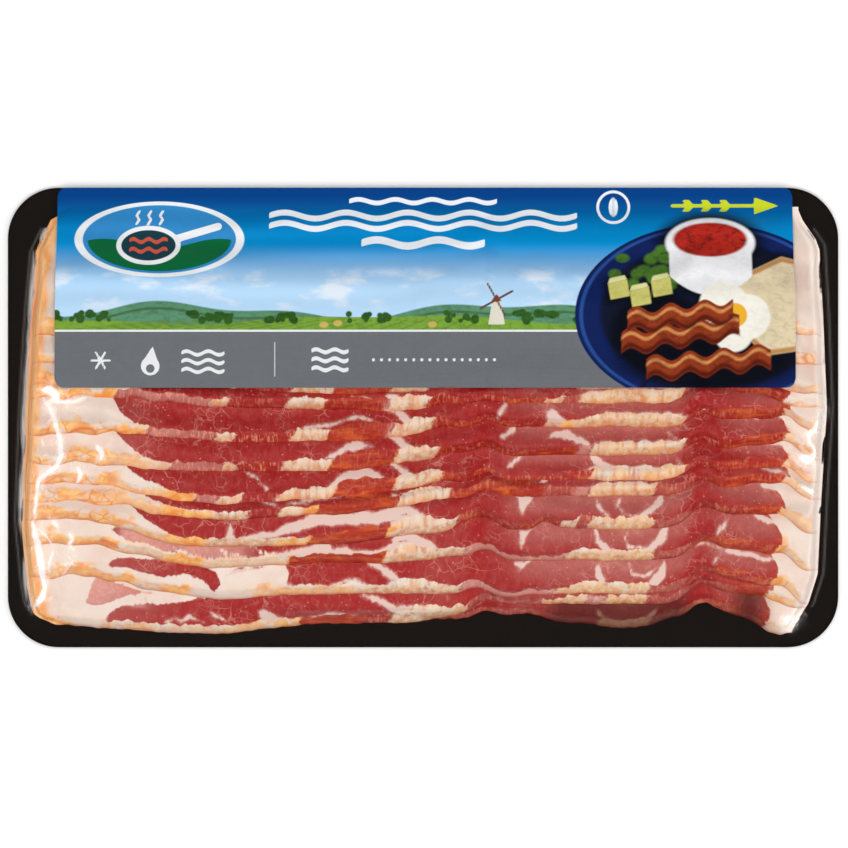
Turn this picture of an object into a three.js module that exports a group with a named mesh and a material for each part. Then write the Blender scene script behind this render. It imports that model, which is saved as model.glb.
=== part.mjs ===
// A flat pack of sliced bacon, lying with its clear side up.
// Thirteen slices overlap like roof tiles on a stiff black board. Clear film is drawn tight over
// them by vacuum and sealed to the board all round, and a printed label lies on the film along
// one long edge.
// Millimetres: +X along the slices, +Y towards the label's edge, +Z up. The origin is the middle
// of the board's underside.

import * as THREE from "three";

// The board that the pack is built on
const BOARD_LENGTH = 270;
const BOARD_WIDTH = 149.4;
const BOARD_THICKNESS = 1;
const BOARD_CORNER = 16.5;
const CORNER_STEPS = 8;

// Pieces that lie on each other keep this gap.
const GAP = 0.3;

// The film round the bacon, where it is sealed to the board
const FILM_THICKNESS = 0.4;
const FILM_INSET = 0.6;

// One slice, as cut
const SLICE_THICKNESS = 3.4;
const SLICE_WIDTH = 44;

// A slice's lower edge is cut at a slant, and its hidden upper edge thins out over a longer way.
const EDGE_RUN = 3;
const HIDDEN_RUN = 8;

// The sides of the stack fall to the board over this way.
const END_RUN = 4.6;

// Each slice's lower edge, counted from the label: its Y near the middle of the left half, and
// how far it rises from there at the left end and in the right half. The two lowest slices have
// bends of their own.
const SLICES = [
  { edge: 24.5, left: 2, right: 3.5 },
  { edge: 15.5, left: 2, right: 3 },
  { edge: 6.7, left: 3, right: 2.5 },
  { edge: 2.1, left: 3.6, right: 2.6 },
  { edge: -8, left: 2, right: 4.9 },
  { edge: -17.7, left: 2.9, right: 5.5 },
  { edge: -26.2, left: 4.9, right: 6 },
  { edge: -31.4, left: 4.2, right: 6 },
  { edge: -41.1, left: 8.1, right: 5 },
  { edge: -47, left: 5.9, right: 0.8 },
  { edge: -57.1, left: 5.5, right: 0 },
  { edge: -66.8, left: 0.3, right: 6.3, own: [{ x: -85, reach: 32, rise: -2.6 }] },
  {
    edge: -64.5,
    left: 2,
    right: -2.4,
    own: [
      { x: 33, reach: 8.5, rise: 3.3 },
      { x: 65, reach: 8, rise: -1.7 },
      { x: 80, reach: 4, rise: 1.4 },
      { x: 113, reach: 8, rise: -4.3 },
    ],
  },
];

// The stretches of X over which the left rise ends and the right rise begins
const LEFT_BLEND = [-112, -75];
const RIGHT_BLEND = [-10, 36];

// Two grooves cross all the slices, and the edges curve up into them.
const GROOVES = [
  { x: 20.2, reach: 5, rise: 3, depth: 1.1 },
  { x: 90.8, reach: 6.5, rise: 6.5, depth: 1.3 },
];

// All lower edges also share a shallow dip, a broad lobe past the right groove and a drop at
// the right end.
const DIP = { x: -63, reach: 18, rise: -1.6 };
const LOBE = [{ x: 99.5, reach: 4.5, rise: 1.7 }, { x: 107, reach: 7, rise: 3 }];
const RIGHT_DROP = { from: 112, to: 124, rise: -1.6 };

// The left and right sides of the stack, each as X at a few heights Y, and about half the
// stack's length
const LEFT_SIDE = [
  [-115, -69.5],
  [-119, -67],
  [-124, -65.2],
  [-126.6, -63.5],
  [-127.6, -60.5],
  [-128.8, -54.5],
  [-130.8, -33],
  [-129.5, 2.4],
  [-127.6, 34],
  [-125.8, 54],
  [-121, 64],
  [-114, 68],
];
const RIGHT_SIDE = [
  [120, -68],
  [125.2, -60.3],
  [128.3, -50.6],
  [129.6, -24],
  [131.3, 3],
  [130.1, 32.7],
  [128.8, 56],
  [122, 66],
];
const STACK_TOP = 68.5;
const ABOUT_HALF = 129;

// The label, from the board's edge down over the upper slices
const LABEL_LEFT = -119.7;
const LABEL_RIGHT = 120.9;
const LABEL_BOTTOM = 9.6;
const LABEL_THICKNESS = 0.4;
const LABEL_CORNER = 3;
const LABEL_CLEARANCE = 0.8;

// How far the label spans between rises of the film, over the lower slices' edges and where it
// falls to the board, and the stretch of Y between the two
const SPAN_OVER_EDGES = 3.2;
const SPAN_ON_SLOPE = 0.8;
const SPAN_BLEND = [34, 52];

// How finely the draped pieces are divided
const STACK_COLUMNS = 48;
const ROWS_PER_SLICE = 3;
const TOP_ROWS = 6;
const LEAST_ROW = 0.3;
const LABEL_COLUMNS = 36;
const LABEL_ROWS = 16;

const smooth = (from, to, v) => THREE.MathUtils.smoothstep(v, from, to);
const bump = (v, reach) => Math.exp(-((v / reach) ** 2));

// X of one side of the stack at height y, along a soft line through its points.
function sideAt(side, y) {
  const last = side.length - 1;
  if (y <= side[0][1]) return side[0][0];
  if (y >= side[last][1]) return side[last][0];
  const i = side.findIndex((point) => point[1] > y);
  const [x0, y0] = side[i - 1];
  const [x1, y1] = side[i];
  return THREE.MathUtils.lerp(x0, x1, (y - y0) / (y1 - y0));
}

// How far a set of bends lifts an edge at x.
function bendsAt(bends, x) {
  return bends.reduce((sum, b) => sum + b.rise * bump(x - b.x, b.reach), 0);
}

// The wave that all lower edges share.
function sharedWave(x) {
  const drop = RIGHT_DROP.rise * smooth(RIGHT_DROP.from, RIGHT_DROP.to, x);
  return bendsAt([DIP, ...LOBE, ...GROOVES], x) + drop;
}

// Y of a slice's lower edge at x.
function lowerEdge(slice, x) {
  const atLeft = 1 - smooth(...LEFT_BLEND, x);
  const atRight = smooth(...RIGHT_BLEND, x);
  const own = bendsAt(slice.own ?? [], x);
  return slice.edge + slice.left * atLeft + slice.right * atRight + sharedWave(x) + own;
}

// The stack's own lower outline, which is the lowest of the slices' edges.
const lowerOutline = (x) => Math.min(...SLICES.map((slice) => lowerEdge(slice, x)));

// How thick one slice is at a point, from nothing outside it to its full thickness.
function thicknessAt(slice, x, y) {
  const edge = lowerEdge(slice, x);
  const rising = smooth(edge, edge + EDGE_RUN, y);
  const upper = edge + SLICE_WIDTH;
  const falling = 1 - smooth(upper - HIDDEN_RUN, upper, y);
  return SLICE_THICKNESS * rising * falling;
}

// Height of the film over the board's face: the slices under it, less the grooves.
function stackHeight(x, y) {
  const total = SLICES.reduce((sum, slice) => sum + thicknessAt(slice, x, y), 0);
  const left = sideAt(LEFT_SIDE, y);
  const right = sideAt(RIGHT_SIDE, y);
  const ends = smooth(left, left + END_RUN, x) * smooth(-right, -right + END_RUN, -x);
  const top = 1 - smooth(STACK_TOP - HIDDEN_RUN, STACK_TOP, y);
  const sunk = GROOVES.reduce((sum, g) => sum + g.depth * bump(x - g.x, g.reach), 0);
  return Math.max(0, total - Math.min(sunk, total / 2)) * ends * top;
}

const BOARD_TOP = BOARD_THICKNESS;
const FILM_BOTTOM = BOARD_TOP + GAP;
const FILM_FLAT = FILM_BOTTOM + FILM_THICKNESS;
const filmTop = (x, y) => FILM_FLAT + stackHeight(x, y);

// The board's outline, drawn in from its edge by inset.
function roundedBoard(inset) {
  const radius = BOARD_CORNER - inset;
  const x = BOARD_LENGTH / 2 - BOARD_CORNER;
  const y = BOARD_WIDTH / 2 - BOARD_CORNER;
  const quarter = Math.PI / 2;
  const shape = new THREE.Shape();
  shape.absarc(x, y, radius, 0, quarter);
  shape.absarc(-x, y, radius, quarter, 2 * quarter);
  shape.absarc(-x, -y, radius, 2 * quarter, 3 * quarter);
  shape.absarc(x, -y, radius, 3 * quarter, 4 * quarter);
  shape.closePath();
  return shape;
}

// A closed outline's points, without a last point that repeats the first.
function outlinePoints(shape) {
  const points = shape.getPoints(CORNER_STEPS);
  const apart = (a, b) => a.distanceTo(b) > 1e-3;
  return points.filter((p, i) => apart(p, points[(i + 1) % points.length]));
}

// Triangles over a grid of rows and columns, facing up, whose first vertex is at start.
function gridTriangles(columns, rows, start, up) {
  const triangles = [];
  for (let j = 0; j < rows - 1; j++) {
    for (let i = 0; i < columns - 1; i++) {
      const a = start + j * columns + i;
      const b = a + 1;
      const c = b + columns;
      const d = a + columns;
      triangles.push(...(up ? [a, b, c, a, c, d] : [a, c, b, a, d, c]));
    }
  }
  return triangles;
}

// The indices round a grid's border, counter-clockwise seen from above.
function gridBorder(columns, rows) {
  const border = [];
  for (let i = 0; i < columns - 1; i++) border.push(i);
  for (let j = 0; j < rows - 1; j++) border.push(j * columns + columns - 1);
  for (let i = columns - 1; i > 0; i--) border.push((rows - 1) * columns + i);
  for (let j = rows - 1; j > 0; j--) border.push(j * columns);
  return border;
}

// The wall between two loops of the same length, the upper one first, facing out.
function wallTriangles(upper, lower) {
  return upper.flatMap((a, i) => {
    const next = (i + 1) % upper.length;
    return [a, lower[i], lower[next], a, lower[next], upper[next]];
  });
}

function meshOf(name, points, triangles, material) {
  const geometry = new THREE.BufferGeometry();
  geometry.setAttribute("position", new THREE.Float32BufferAttribute(points.flat(), 3));
  geometry.setIndex(triangles);
  geometry.computeVertexNormals();
  const mesh = new THREE.Mesh(geometry, material);
  mesh.name = name;
  return mesh;
}

function backingBoard() {
  const geometry = new THREE.ExtrudeGeometry(roundedBoard(0), {
    depth: BOARD_THICKNESS,
    bevelEnabled: false,
    curveSegments: CORNER_STEPS,
  });
  const material = new THREE.MeshStandardMaterial({ color: 0x1a1411, roughness: 0.45 });
  const mesh = new THREE.Mesh(geometry, material);
  mesh.name = "backing_board";
  return mesh;
}

// How far across the stack each column lies, from 0 to 1, closer together on the end slopes.
function columnShares() {
  const slope = [0, 0.007, 0.0135, 0.02];
  const between = STACK_COLUMNS - 2 * slope.length;
  const first = slope[slope.length - 1];
  const step = (1 - 2 * first) / (between + 1);
  const middle = Array.from({ length: between }, (_, i) => first + step * (i + 1));
  return [...slope, ...middle, ...slope.map((share) => 1 - share).reverse()];
}

// The Y of each row at x, from the stack's lower outline up. Every slice has a row at the foot
// of its edge, one at the top of its edge and one halfway up its face.
function rowHeights(x) {
  const rows = [lowerOutline(x)];
  for (let k = SLICES.length - 1; k >= 0; k--) {
    const foot = lowerEdge(SLICES[k], x);
    const above = k > 0 ? lowerEdge(SLICES[k - 1], x) : foot + HIDDEN_RUN;
    const crest = foot + EDGE_RUN;
    rows.push(foot, crest, Math.max(crest, (crest + above) / 2));
  }
  const start = rows[rows.length - 1];
  for (let i = 1; i <= TOP_ROWS; i++) {
    rows.push(THREE.MathUtils.lerp(start, STACK_TOP, i / TOP_ROWS));
  }
  for (let i = 1; i < rows.length; i++) {
    rows[i] = Math.max(rows[i], rows[i - 1] + LEAST_ROW);
  }
  return rows;
}

// The film with the bacon that it holds: a draped top, a sealed rim and a flat underside.
function sealedBacon() {
  const shares = columnShares();
  const rowCount = 1 + SLICES.length * ROWS_PER_SLICE + TOP_ROWS;
  const points = [];
  for (let j = 0; j < rowCount; j++) {
    for (const share of shares) {
      const nearby = rowHeights(THREE.MathUtils.lerp(-ABOUT_HALF, ABOUT_HALF, share))[j];
      const left = sideAt(LEFT_SIDE, nearby);
      const right = sideAt(RIGHT_SIDE, nearby);
      const x = THREE.MathUtils.lerp(left, right, share);
      const y = rowHeights(x)[j];
      points.push([x, y, filmTop(x, y)]);
    }
  }
  const border = gridBorder(shares.length, rowCount);
  for (const index of border) points[index][2] = FILM_FLAT;
  const triangles = gridTriangles(shares.length, rowCount, 0, true);

  const rim = outlinePoints(roundedBoard(FILM_INSET));
  const rimTop = rim.map((_, i) => points.length + i);
  rim.forEach((p) => points.push([p.x, p.y, FILM_FLAT]));
  const rimBottom = rim.map((_, i) => points.length + i);
  rim.forEach((p) => points.push([p.x, p.y, FILM_BOTTOM]));

  const hole = [...border].reverse();
  const holePoints = hole.map((index) => new THREE.Vector2(points[index][0], points[index][1]));
  const flat = [...rimTop, ...hole];
  for (const face of THREE.ShapeUtils.triangulateShape(rim, [holePoints])) {
    triangles.push(...face.map((corner) => flat[corner]));
  }
  for (const [a, b, c] of THREE.ShapeUtils.triangulateShape(rim, [])) {
    triangles.push(rimBottom[a], rimBottom[c], rimBottom[b]);
  }
  triangles.push(...wallTriangles(rimTop, rimBottom));
  const material = new THREE.MeshStandardMaterial({ color: 0xb5564a, roughness: 0.2 });
  return meshOf("sealed_bacon", points, triangles, material);
}

// The lowest smooth surface over the film at a point: first the highest film within reach, then
// the mean of that nearby.
function labelUnderside(x, y) {
  const offsets = [-1, -0.5, 0, 0.5, 1];
  const reach = THREE.MathUtils.lerp(SPAN_OVER_EDGES, SPAN_ON_SLOPE, smooth(...SPAN_BLEND, y));
  const highest = (px, py) => Math.max(
    ...offsets.flatMap((i) => offsets.map((j) => filmTop(px + i * reach, py + j * reach))),
  );
  const sum = offsets.reduce((total, j) => total + highest(x, y + j * reach), 0);
  return sum / offsets.length + LABEL_CLEARANCE;
}

// Shares from 0 to 1 in even steps, with two more near each end for the round corners.
function labelShares(count, length) {
  const corner = [0, (0.3 * LABEL_CORNER) / length, LABEL_CORNER / length];
  const inner = count - 2 * corner.length;
  const first = corner[2];
  const step = (1 - 2 * first) / (inner + 1);
  const middle = Array.from({ length: inner }, (_, i) => first + step * (i + 1));
  return [...corner, ...middle, ...corner.map((share) => 1 - share).reverse()];
}

// How far a round corner draws the label's long edges in, at a way along from its short edge.
function cornerInset(along) {
  if (along >= LABEL_CORNER) return 0;
  return LABEL_CORNER - Math.sqrt(LABEL_CORNER ** 2 - (LABEL_CORNER - along) ** 2);
}

function label() {
  const labelTop = BOARD_WIDTH / 2;
  const length = LABEL_RIGHT - LABEL_LEFT;
  const shares = labelShares(LABEL_COLUMNS, length);
  const upper = [];
  const lower = [];
  for (let j = 0; j < LABEL_ROWS; j++) {
    for (const share of shares) {
      const x = LABEL_LEFT + share * length;
      const inset = cornerInset(Math.min(share, 1 - share) * length);
      const from = LABEL_BOTTOM + inset;
      const y = THREE.MathUtils.lerp(from, labelTop - inset, j / (LABEL_ROWS - 1));
      const under = labelUnderside(x, y);
      lower.push([x, y, under]);
      upper.push([x, y, under + LABEL_THICKNESS]);
    }
  }
  const border = gridBorder(shares.length, LABEL_ROWS);
  const start = upper.length;
  const triangles = [
    ...gridTriangles(shares.length, LABEL_ROWS, 0, true),
    ...gridTriangles(shares.length, LABEL_ROWS, start, false),
    ...wallTriangles(border, border.map((index) => index + start)),
  ];
  const material = new THREE.MeshStandardMaterial({ color: 0x1477bb, roughness: 0.35 });
  return meshOf("label", [...upper, ...lower], triangles, material);
}

const group = new THREE.Group();
group.add(backingBoard(), sealedBacon(), label());

export default group;
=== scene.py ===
# %% [markdown]
# # A flat pack of sliced bacon
#
# The real pack is a stiff black board with thirteen slices of smoked belly laid on it like roof
# tiles. Clear film is drawn tight over them by vacuum, and a printed label lies on the film.
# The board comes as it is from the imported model. The slices, the film and the label are made
# here, around it. Lengths in the helpers below are millimetres, because that is how a butcher
# measures a slice, and they are turned into metres when a mesh gets its points.

import bpy
import numpy as np
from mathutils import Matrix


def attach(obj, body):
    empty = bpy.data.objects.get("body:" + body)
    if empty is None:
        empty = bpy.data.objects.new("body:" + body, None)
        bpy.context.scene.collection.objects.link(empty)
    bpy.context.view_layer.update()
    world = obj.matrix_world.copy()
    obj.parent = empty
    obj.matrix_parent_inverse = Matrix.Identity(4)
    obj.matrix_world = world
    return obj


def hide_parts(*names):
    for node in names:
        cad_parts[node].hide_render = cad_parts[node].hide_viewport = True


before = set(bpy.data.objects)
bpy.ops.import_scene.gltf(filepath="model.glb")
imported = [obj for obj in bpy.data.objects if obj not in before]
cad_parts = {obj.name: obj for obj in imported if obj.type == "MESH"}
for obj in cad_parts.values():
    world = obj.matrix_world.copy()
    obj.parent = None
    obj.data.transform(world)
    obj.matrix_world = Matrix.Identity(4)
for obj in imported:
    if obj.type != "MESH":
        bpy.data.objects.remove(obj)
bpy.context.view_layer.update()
MM = 0.001
print("packed nodes:", sorted(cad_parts))

# %% [markdown]
# ## The camera
#
# The pack was photographed straight on. It lies down here, so the camera hangs over it and looks
# straight down. A long lens from two metres away keeps the sides of the stack out of sight, as
# a wide one would not.

# %% The camera over the pack
BOARD_LENGTH = 270
BOARD_WIDTH = 149.4
FRAME_WIDTH = 275.9
CAMERA_AIM = (0.3, -2.1)
CAMERA_HEIGHT = 2200
SENSOR = 36

camera_data = bpy.data.cameras.new("camera")
camera_data.sensor_width = SENSOR
camera_data.lens = SENSOR * CAMERA_HEIGHT / FRAME_WIDTH
camera_data.clip_end = 20
camera = bpy.data.objects.new("camera", camera_data)
camera.location = (CAMERA_AIM[0] * MM, CAMERA_AIM[1] * MM, CAMERA_HEIGHT * MM)
bpy.context.scene.collection.objects.link(camera)
bpy.context.scene.camera = camera
bpy.context.scene.view_settings.view_transform = "Standard"
print("lens", round(camera_data.lens), "mm")

# %% [markdown]
# ## Soft steps and hills
#
# Nearly every shape on the pack is a soft step from one value to another, or a low hill. These
# two helpers make both, for whole arrays of points at once. The third gives a gentle random
# wave that is the same on each run, for what no knife cuts quite straight.

# %% Soft steps, hills and waves
def step(start, end, value):
    """Rises softly from 0 at start to 1 at end."""
    t = np.clip((value - start) / (end - start), 0, 1)
    return t * t * (3 - 2 * t)


def hill(value, reach):
    """One at 0, and nearly nothing past about twice the reach."""
    return np.exp(-((value / reach) ** 2))


def wave(value, length, seed):
    """An uneven wave about as long as length, between about -1 and 1."""
    draw = np.random.default_rng(seed)
    total = 0
    for part in range(3):
        phase = draw.uniform(0, 2 * np.pi)
        pitch = length * draw.uniform(0.6, 1.5)
        total = total + np.sin(2 * np.pi * value / pitch + phase)
    return total / 3


# %% [markdown]
# ## How the slices lie
#
# Each slice overlaps the next one down, so only a strip of its face and its lower edge show.
# The edges aren't straight: they rise together into two grooves where the belly was creased,
# and each has a lift of its own at the left end and in the right half. A slice lies on whatever
# is under it, so its height is the sum of the slices below. This was chosen over a cloth
# simulation because the place of every edge is known from the photo. Each row gives a slice's
# edge in Y, its lift at the left and its lift at the right. A bend is a hill with its middle,
# its reach and its height, and a groove also has its depth.

# %% Where each slice's lower edge runs
SLICE_LENGTH = 258
SLICE_WIDTH = 44
SLICE_THICKNESS = 3.4
EDGE_RUN = 3
HIDDEN_RUN = 8
SLICES = [
    (24.5, 2, 3.5),
    (15.5, 2, 3),
    (6.7, 3, 2.5),
    (2.1, 3.6, 2.6),
    (-8, 2, 4.9),
    (-17.7, 2.9, 5.5),
    (-26.2, 4.9, 6),
    (-31.4, 4.2, 6),
    (-41.1, 8.1, 5),
    (-47, 5.9, 0.8),
    (-57.1, 5.5, 0),
    (-66.8, 0.3, 6.3),
    (-64.5, 2, -2.4),
]
LAST = len(SLICES) - 1
GROOVES = [(20.2, 5, 3, 1.1), (90.8, 6.5, 6.5, 1.3)]
DIP = (-63, 18, -1.6)
LOBE = [(99.5, 4.5, 1.7), (107, 7, 3)]
END_DROP = 1.6
END_DROP_RUN = (112, 124)
LEFT_LIFT_RUN = (-112, -75)
RIGHT_LIFT_RUN = (-10, 36)


def bend_sum(bends, x):
    """The sum of some bends at x."""
    return 0 * x + sum(rise * hill(x - middle, reach) for middle, reach, rise in bends)


def shared_wave(x):
    """The rise and fall that all lower edges share."""
    bends = [DIP] + LOBE + [groove[:3] for groove in GROOVES]
    return bend_sum(bends, x) - END_DROP * step(*END_DROP_RUN, x)


print(len(SLICES), "slices, the lowest edge at", min(row[0] for row in SLICES), "mm")

# %% [markdown]
# ## Bends of single slices
#
# No two slices of belly fall alike. The lowest two make the outline of the stack, and have
# bends of their own. The ones inside the stack have small bends that move a border between two
# slices by a few millimetres. On top of that a soft edge is ragged after the knife, for which
# random waves do well enough.

# %% The lower edge of one slice
OUTLINE_FROM = 11
OWN_BENDS = {
    11: [(-85, 32, -2.6)],
    12: [(33, 8.5, 3.3), (65, 8, -1.7), (80, 4, 1.4), (113, 8, -4.3)],
}
SMALL_BENDS = {
    2: [(-75, 34, 5), (-1, 18, 1.6)],
    3: [(-75, 34, 3.2), (7, 7, 1.5), (20.2, 4, -1.3)],
    4: [(-78, 34, 2.2), (-1, 18, 2), (8, 7, 2), (93, 9, -2.4), (117.5, 5, 4)],
    5: [(-63, 22, 2), (-1, 18, 3.2), (9.5, 6, 2), (94, 7, -2.3), (118, 5.5, 4.8)],
    6: [(-1, 18, 3.2), (8, 7, 1.2), (94, 6, -2), (108, 5, 0.8), (118, 5.5, 4.8)],
    7: [(-1, 18, 2.9), (6, 8, 1), (94, 6, -1.6), (109, 5, 1), (117.3, 5, 4.6)],
    8: [(-63, 15, 1), (-1, 18, 2.9), (14.5, 6, 3), (39.5, 4, 2.6), (96, 12, 1), (108, 7, 1),
        (116.3, 5, 4.2)],
    9: [(10, 9, 2), (124, 12, -2.2), (116.8, 4.5, 4)],
    10: [(15, 4, 0.8), (22.5, 5, -2.4), (29, 4, -0.8), (124, 12, -2.2), (97, 8, 1.2),
        (116.8, 4.5, 4)],
}


def small_bend(k, x):
    """A slice's own small bends inside the stack, none of them at its outline."""
    return bend_sum(SMALL_BENDS.get(k, []), x)


def lower_edge(k, x):
    """Y of slice k's lower edge at x."""
    edge, left, right = SLICES[k]
    ragged = 0.35 * wave(x, 23, 40 + k) + 0.16 * wave(x, 6, 60 + k)
    if k < OUTLINE_FROM:
        ragged = ragged + 0.75 * wave(x, 15, 90 + k) * (1 - step(-94, -78, x))
    lifts = left * (1 - step(*LEFT_LIFT_RUN, x)) + right * step(*RIGHT_LIFT_RUN, x)
    own = bend_sum(OWN_BENDS.get(k, []), x)
    return edge + lifts + shared_wave(x) + own + small_bend(k, x) + ragged


print("slices with bends at the outline:", len(OWN_BENDS), "and inside:", len(SMALL_BENDS))

# %% [markdown]
# ## The sides of the stack, and a slice's thickness
#
# The ends of the slices make two steep sides that bulge a little, drawn as two lines of points
# that are read off at a place in Y. A slice has its full thickness over most of its width. It
# slopes down at its lower edge, in a slightly round way, and thins out under the next ones.

# %% The sides of the stack, and how thick a slice is
LEFT_SIDE = [(-115, -69.5), (-119, -67), (-124, -65.2), (-126.6, -63.5), (-127.6, -60.5),
             (-128.8, -54.5), (-130.8, -33), (-129.5, 2.4), (-127.6, 34), (-125.8, 54),
             (-121, 64), (-114, 68)]
RIGHT_SIDE = [(120, -68), (125.2, -60.3), (128.3, -50.6), (129.6, -24), (131.3, 3),
              (130.1, 32.7), (128.8, 56), (122, 66)]
STACK_TOP = 68.5
END_RUN = 2.2
END_SET_BACK = 0.14
END_SWAY = 0.5
ROUNDING = 0.3
LAST_RUN = 12
LAST_RUN_ENDS = (-75, -40)


def side_at(side, y):
    """X of one side of the stack at height y."""
    return np.interp(y, [p[1] for p in side], [p[0] for p in side])


def across(k, x, y):
    """How much of slice k's thickness there is at a point, from its two long edges."""
    foot = lower_edge(k, x)
    run = EDGE_RUN + (LAST_RUN * (1 - step(*LAST_RUN_ENDS, x)) if k == LAST else 0)
    up = np.clip((y - foot) / run, 0, 1)
    upper = np.minimum(foot + SLICE_WIDTH, STACK_TOP)
    slope = (1 - ROUNDING) * up + ROUNDING * (1 - (1 - up) ** 2)
    return slope * (1 - step(upper - HIDDEN_RUN, upper, y))


def ends(k, x, y, height):
    """The part of a slice's thickness left near its short ends: higher ones lie further in."""
    set_back = END_SET_BACK * height + END_SWAY * (1 + wave(y, 30, 80 + k))
    left = side_at(LEFT_SIDE, y) + set_back
    right = side_at(RIGHT_SIDE, y) - set_back
    return step(left, left + END_RUN, x) * step(-right, -right + END_RUN, -x)


print("sides of", len(LEFT_SIDE), "and", len(RIGHT_SIDE), "points")

# %% [markdown]
# ## The height of the pile
#
# Each slice rests on those under it, so heights are summed from the board up, and the two
# grooves press the sum down a little. The height of the whole stack is summed once into a
# table, since the film and the label ask for it many times over. Between the table's points it
# is read off on a straight slope both ways.

# %% Summing the slices
GROOVE_NARROWING = 0.6
TABLE_STEP = 0.5


def pile(first, x, y):
    """The height of the slices from number first down to the board, and first's own share."""
    uncut, total, own = 0 * x, 0 * x, 0 * x
    for k in range(LAST, first - 1, -1):
        whole = SLICE_THICKNESS * across(k, x, y)
        own = whole * ends(k, x, y, uncut)
        uncut = uncut + whole
        total = total + own
    sunk = sum(depth * hill(x - middle, reach * GROOVE_NARROWING)
               for middle, reach, _, depth in GROOVES)
    return total - np.minimum(sunk, total / 2), own


TABLE_X = np.arange(-140, 140.1, TABLE_STEP)
TABLE_Y = np.arange(-80, 80.1, TABLE_STEP)
grid_x, grid_y = np.meshgrid(TABLE_X, TABLE_Y, indexing="ij")
TABLE = pile(0, grid_x, grid_y)[0]


def stack_top(x, y):
    """The height of the whole stack, read between the points of the table."""
    i = np.clip((x - TABLE_X[0]) / TABLE_STEP, 0, len(TABLE_X) - 1.001)
    j = np.clip((y - TABLE_Y[0]) / TABLE_STEP, 0, len(TABLE_Y) - 1.001)
    i0, j0 = i.astype(int), j.astype(int)
    a, b = i - i0, j - j0
    return ((TABLE[i0, j0] * (1 - a) + TABLE[i0 + 1, j0] * a) * (1 - b)
            + (TABLE[i0, j0 + 1] * (1 - a) + TABLE[i0 + 1, j0 + 1] * a) * b)


print("tallest pile", round(float(TABLE.max()), 1), "mm")

# %% [markdown]
# ## A blank for each laid piece
#
# A slice, the film and the label all start as a flat sheet at their own size: a grid, given its
# thickness by an extrusion downwards. The sheet is then laid in place by moving its points,
# which keeps its faces in even rows along the slices, so that the edge bands stay crisp. After
# that the normals are recalculated, because an extrusion can leave them pointing in.

# %% Cutting a blank and laying it
FILM_FLAT = 1.3
TOP_FROM = -0.001
SMOOTH_ANGLE = 1.0


def cut_blank(name, length, width, columns, rows, depth):
    """A flat slab in millimetres round the origin, with its top at 0."""
    bpy.ops.object.select_all(action="DESELECT")
    bpy.ops.mesh.primitive_grid_add(x_subdivisions=columns, y_subdivisions=rows, size=1)
    blank = bpy.context.active_object
    blank.name = name
    blank.data.name = name
    blank.scale = (length * MM, width * MM, 1)
    bpy.ops.object.transform_apply(location=True, rotation=True, scale=True)
    bpy.ops.object.mode_set(mode="EDIT")
    bpy.ops.mesh.select_all(action="SELECT")
    bpy.ops.mesh.extrude_region_move(TRANSFORM_OT_translate={"value": (0, 0, -depth * MM)})
    bpy.ops.object.mode_set(mode="OBJECT")
    return blank


def blank_shares(piece, length, width):
    """How far along and across each point lies, from 0 to 1, and whether it is on top."""
    points = np.empty(len(piece.data.vertices) * 3)
    piece.data.vertices.foreach_get("co", points)
    points = points.reshape(-1, 3) / MM
    return points[:, 0] / length + 0.5, points[:, 1] / width + 0.5, points[:, 2] > TOP_FROM


def lay(piece, x, y, z):
    """Moves the piece's points to their places in millimetres, and turns its faces outwards."""
    places = np.stack([x, y, z], 1) * MM
    piece.data.vertices.foreach_set("co", places.ravel())
    piece.data.update()
    bpy.ops.object.select_all(action="DESELECT")
    piece.select_set(True)
    bpy.context.view_layer.objects.active = piece
    bpy.ops.object.mode_set(mode="EDIT")
    bpy.ops.mesh.select_all(action="SELECT")
    bpy.ops.mesh.normals_make_consistent(inside=False)
    bpy.ops.object.mode_set(mode="OBJECT")
    bpy.ops.object.shade_smooth_by_angle(angle=SMOOTH_ANGLE)


def note(piece, name, values):
    """Writes one number for each point of the piece, for its material to read."""
    layer = piece.data.attributes.new(name, "FLOAT", "POINT")
    layer.data.foreach_set("value", np.asarray(values, dtype=np.float32))


# %% [markdown]
# ## Lines and patches
#
# The pattern of a slice is drawn with three shapes, in x along the slice and s up from its lower
# edge: a line of some width, a patch with corners, and a stretch between two values. Each gives
# a field that is above zero inside the shape and falls with the distance from it. Such a field
# stays crisp on a coarse mesh, and the material can give its border small teeth.

# %% Shapes as fields
TINY = 1e-9
OUTSIDE = -9


def way_to(x, s, start, end):
    """The distance to a straight piece of line."""
    (x0, s0), (x1, s1) = start, end
    dx, ds = x1 - x0, s1 - s0
    along = np.clip(((x - x0) * dx + (s - s0) * ds) / (dx * dx + ds * ds + TINY), 0, 1)
    return np.hypot(x - x0 - along * dx, s - s0 - along * ds)


def line(x, s, points, width):
    """A line through the points, as wide as width all along."""
    ways = [way_to(x, s, a, b) for a, b in zip(points, points[1:])]
    return width / 2 - np.minimum.reduce(ways)


def tapered(x, s, points, width):
    """A line that is widest in its middle and thins out to both ends."""
    fields = []
    for i, (a, b) in enumerate(zip(points, points[1:])):
        dx, ds = b[0] - a[0], b[1] - a[1]
        along = np.clip(((x - a[0]) * dx + (s - a[1]) * ds) / (dx * dx + ds * ds + TINY), 0, 1)
        share = (i + along) / (len(points) - 1)
        half = width / 2 * np.sqrt(np.clip(4 * share * (1 - share), 0.02, 1))
        fields.append(half - way_to(x, s, a, b))
    return np.maximum.reduce(fields)


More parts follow.
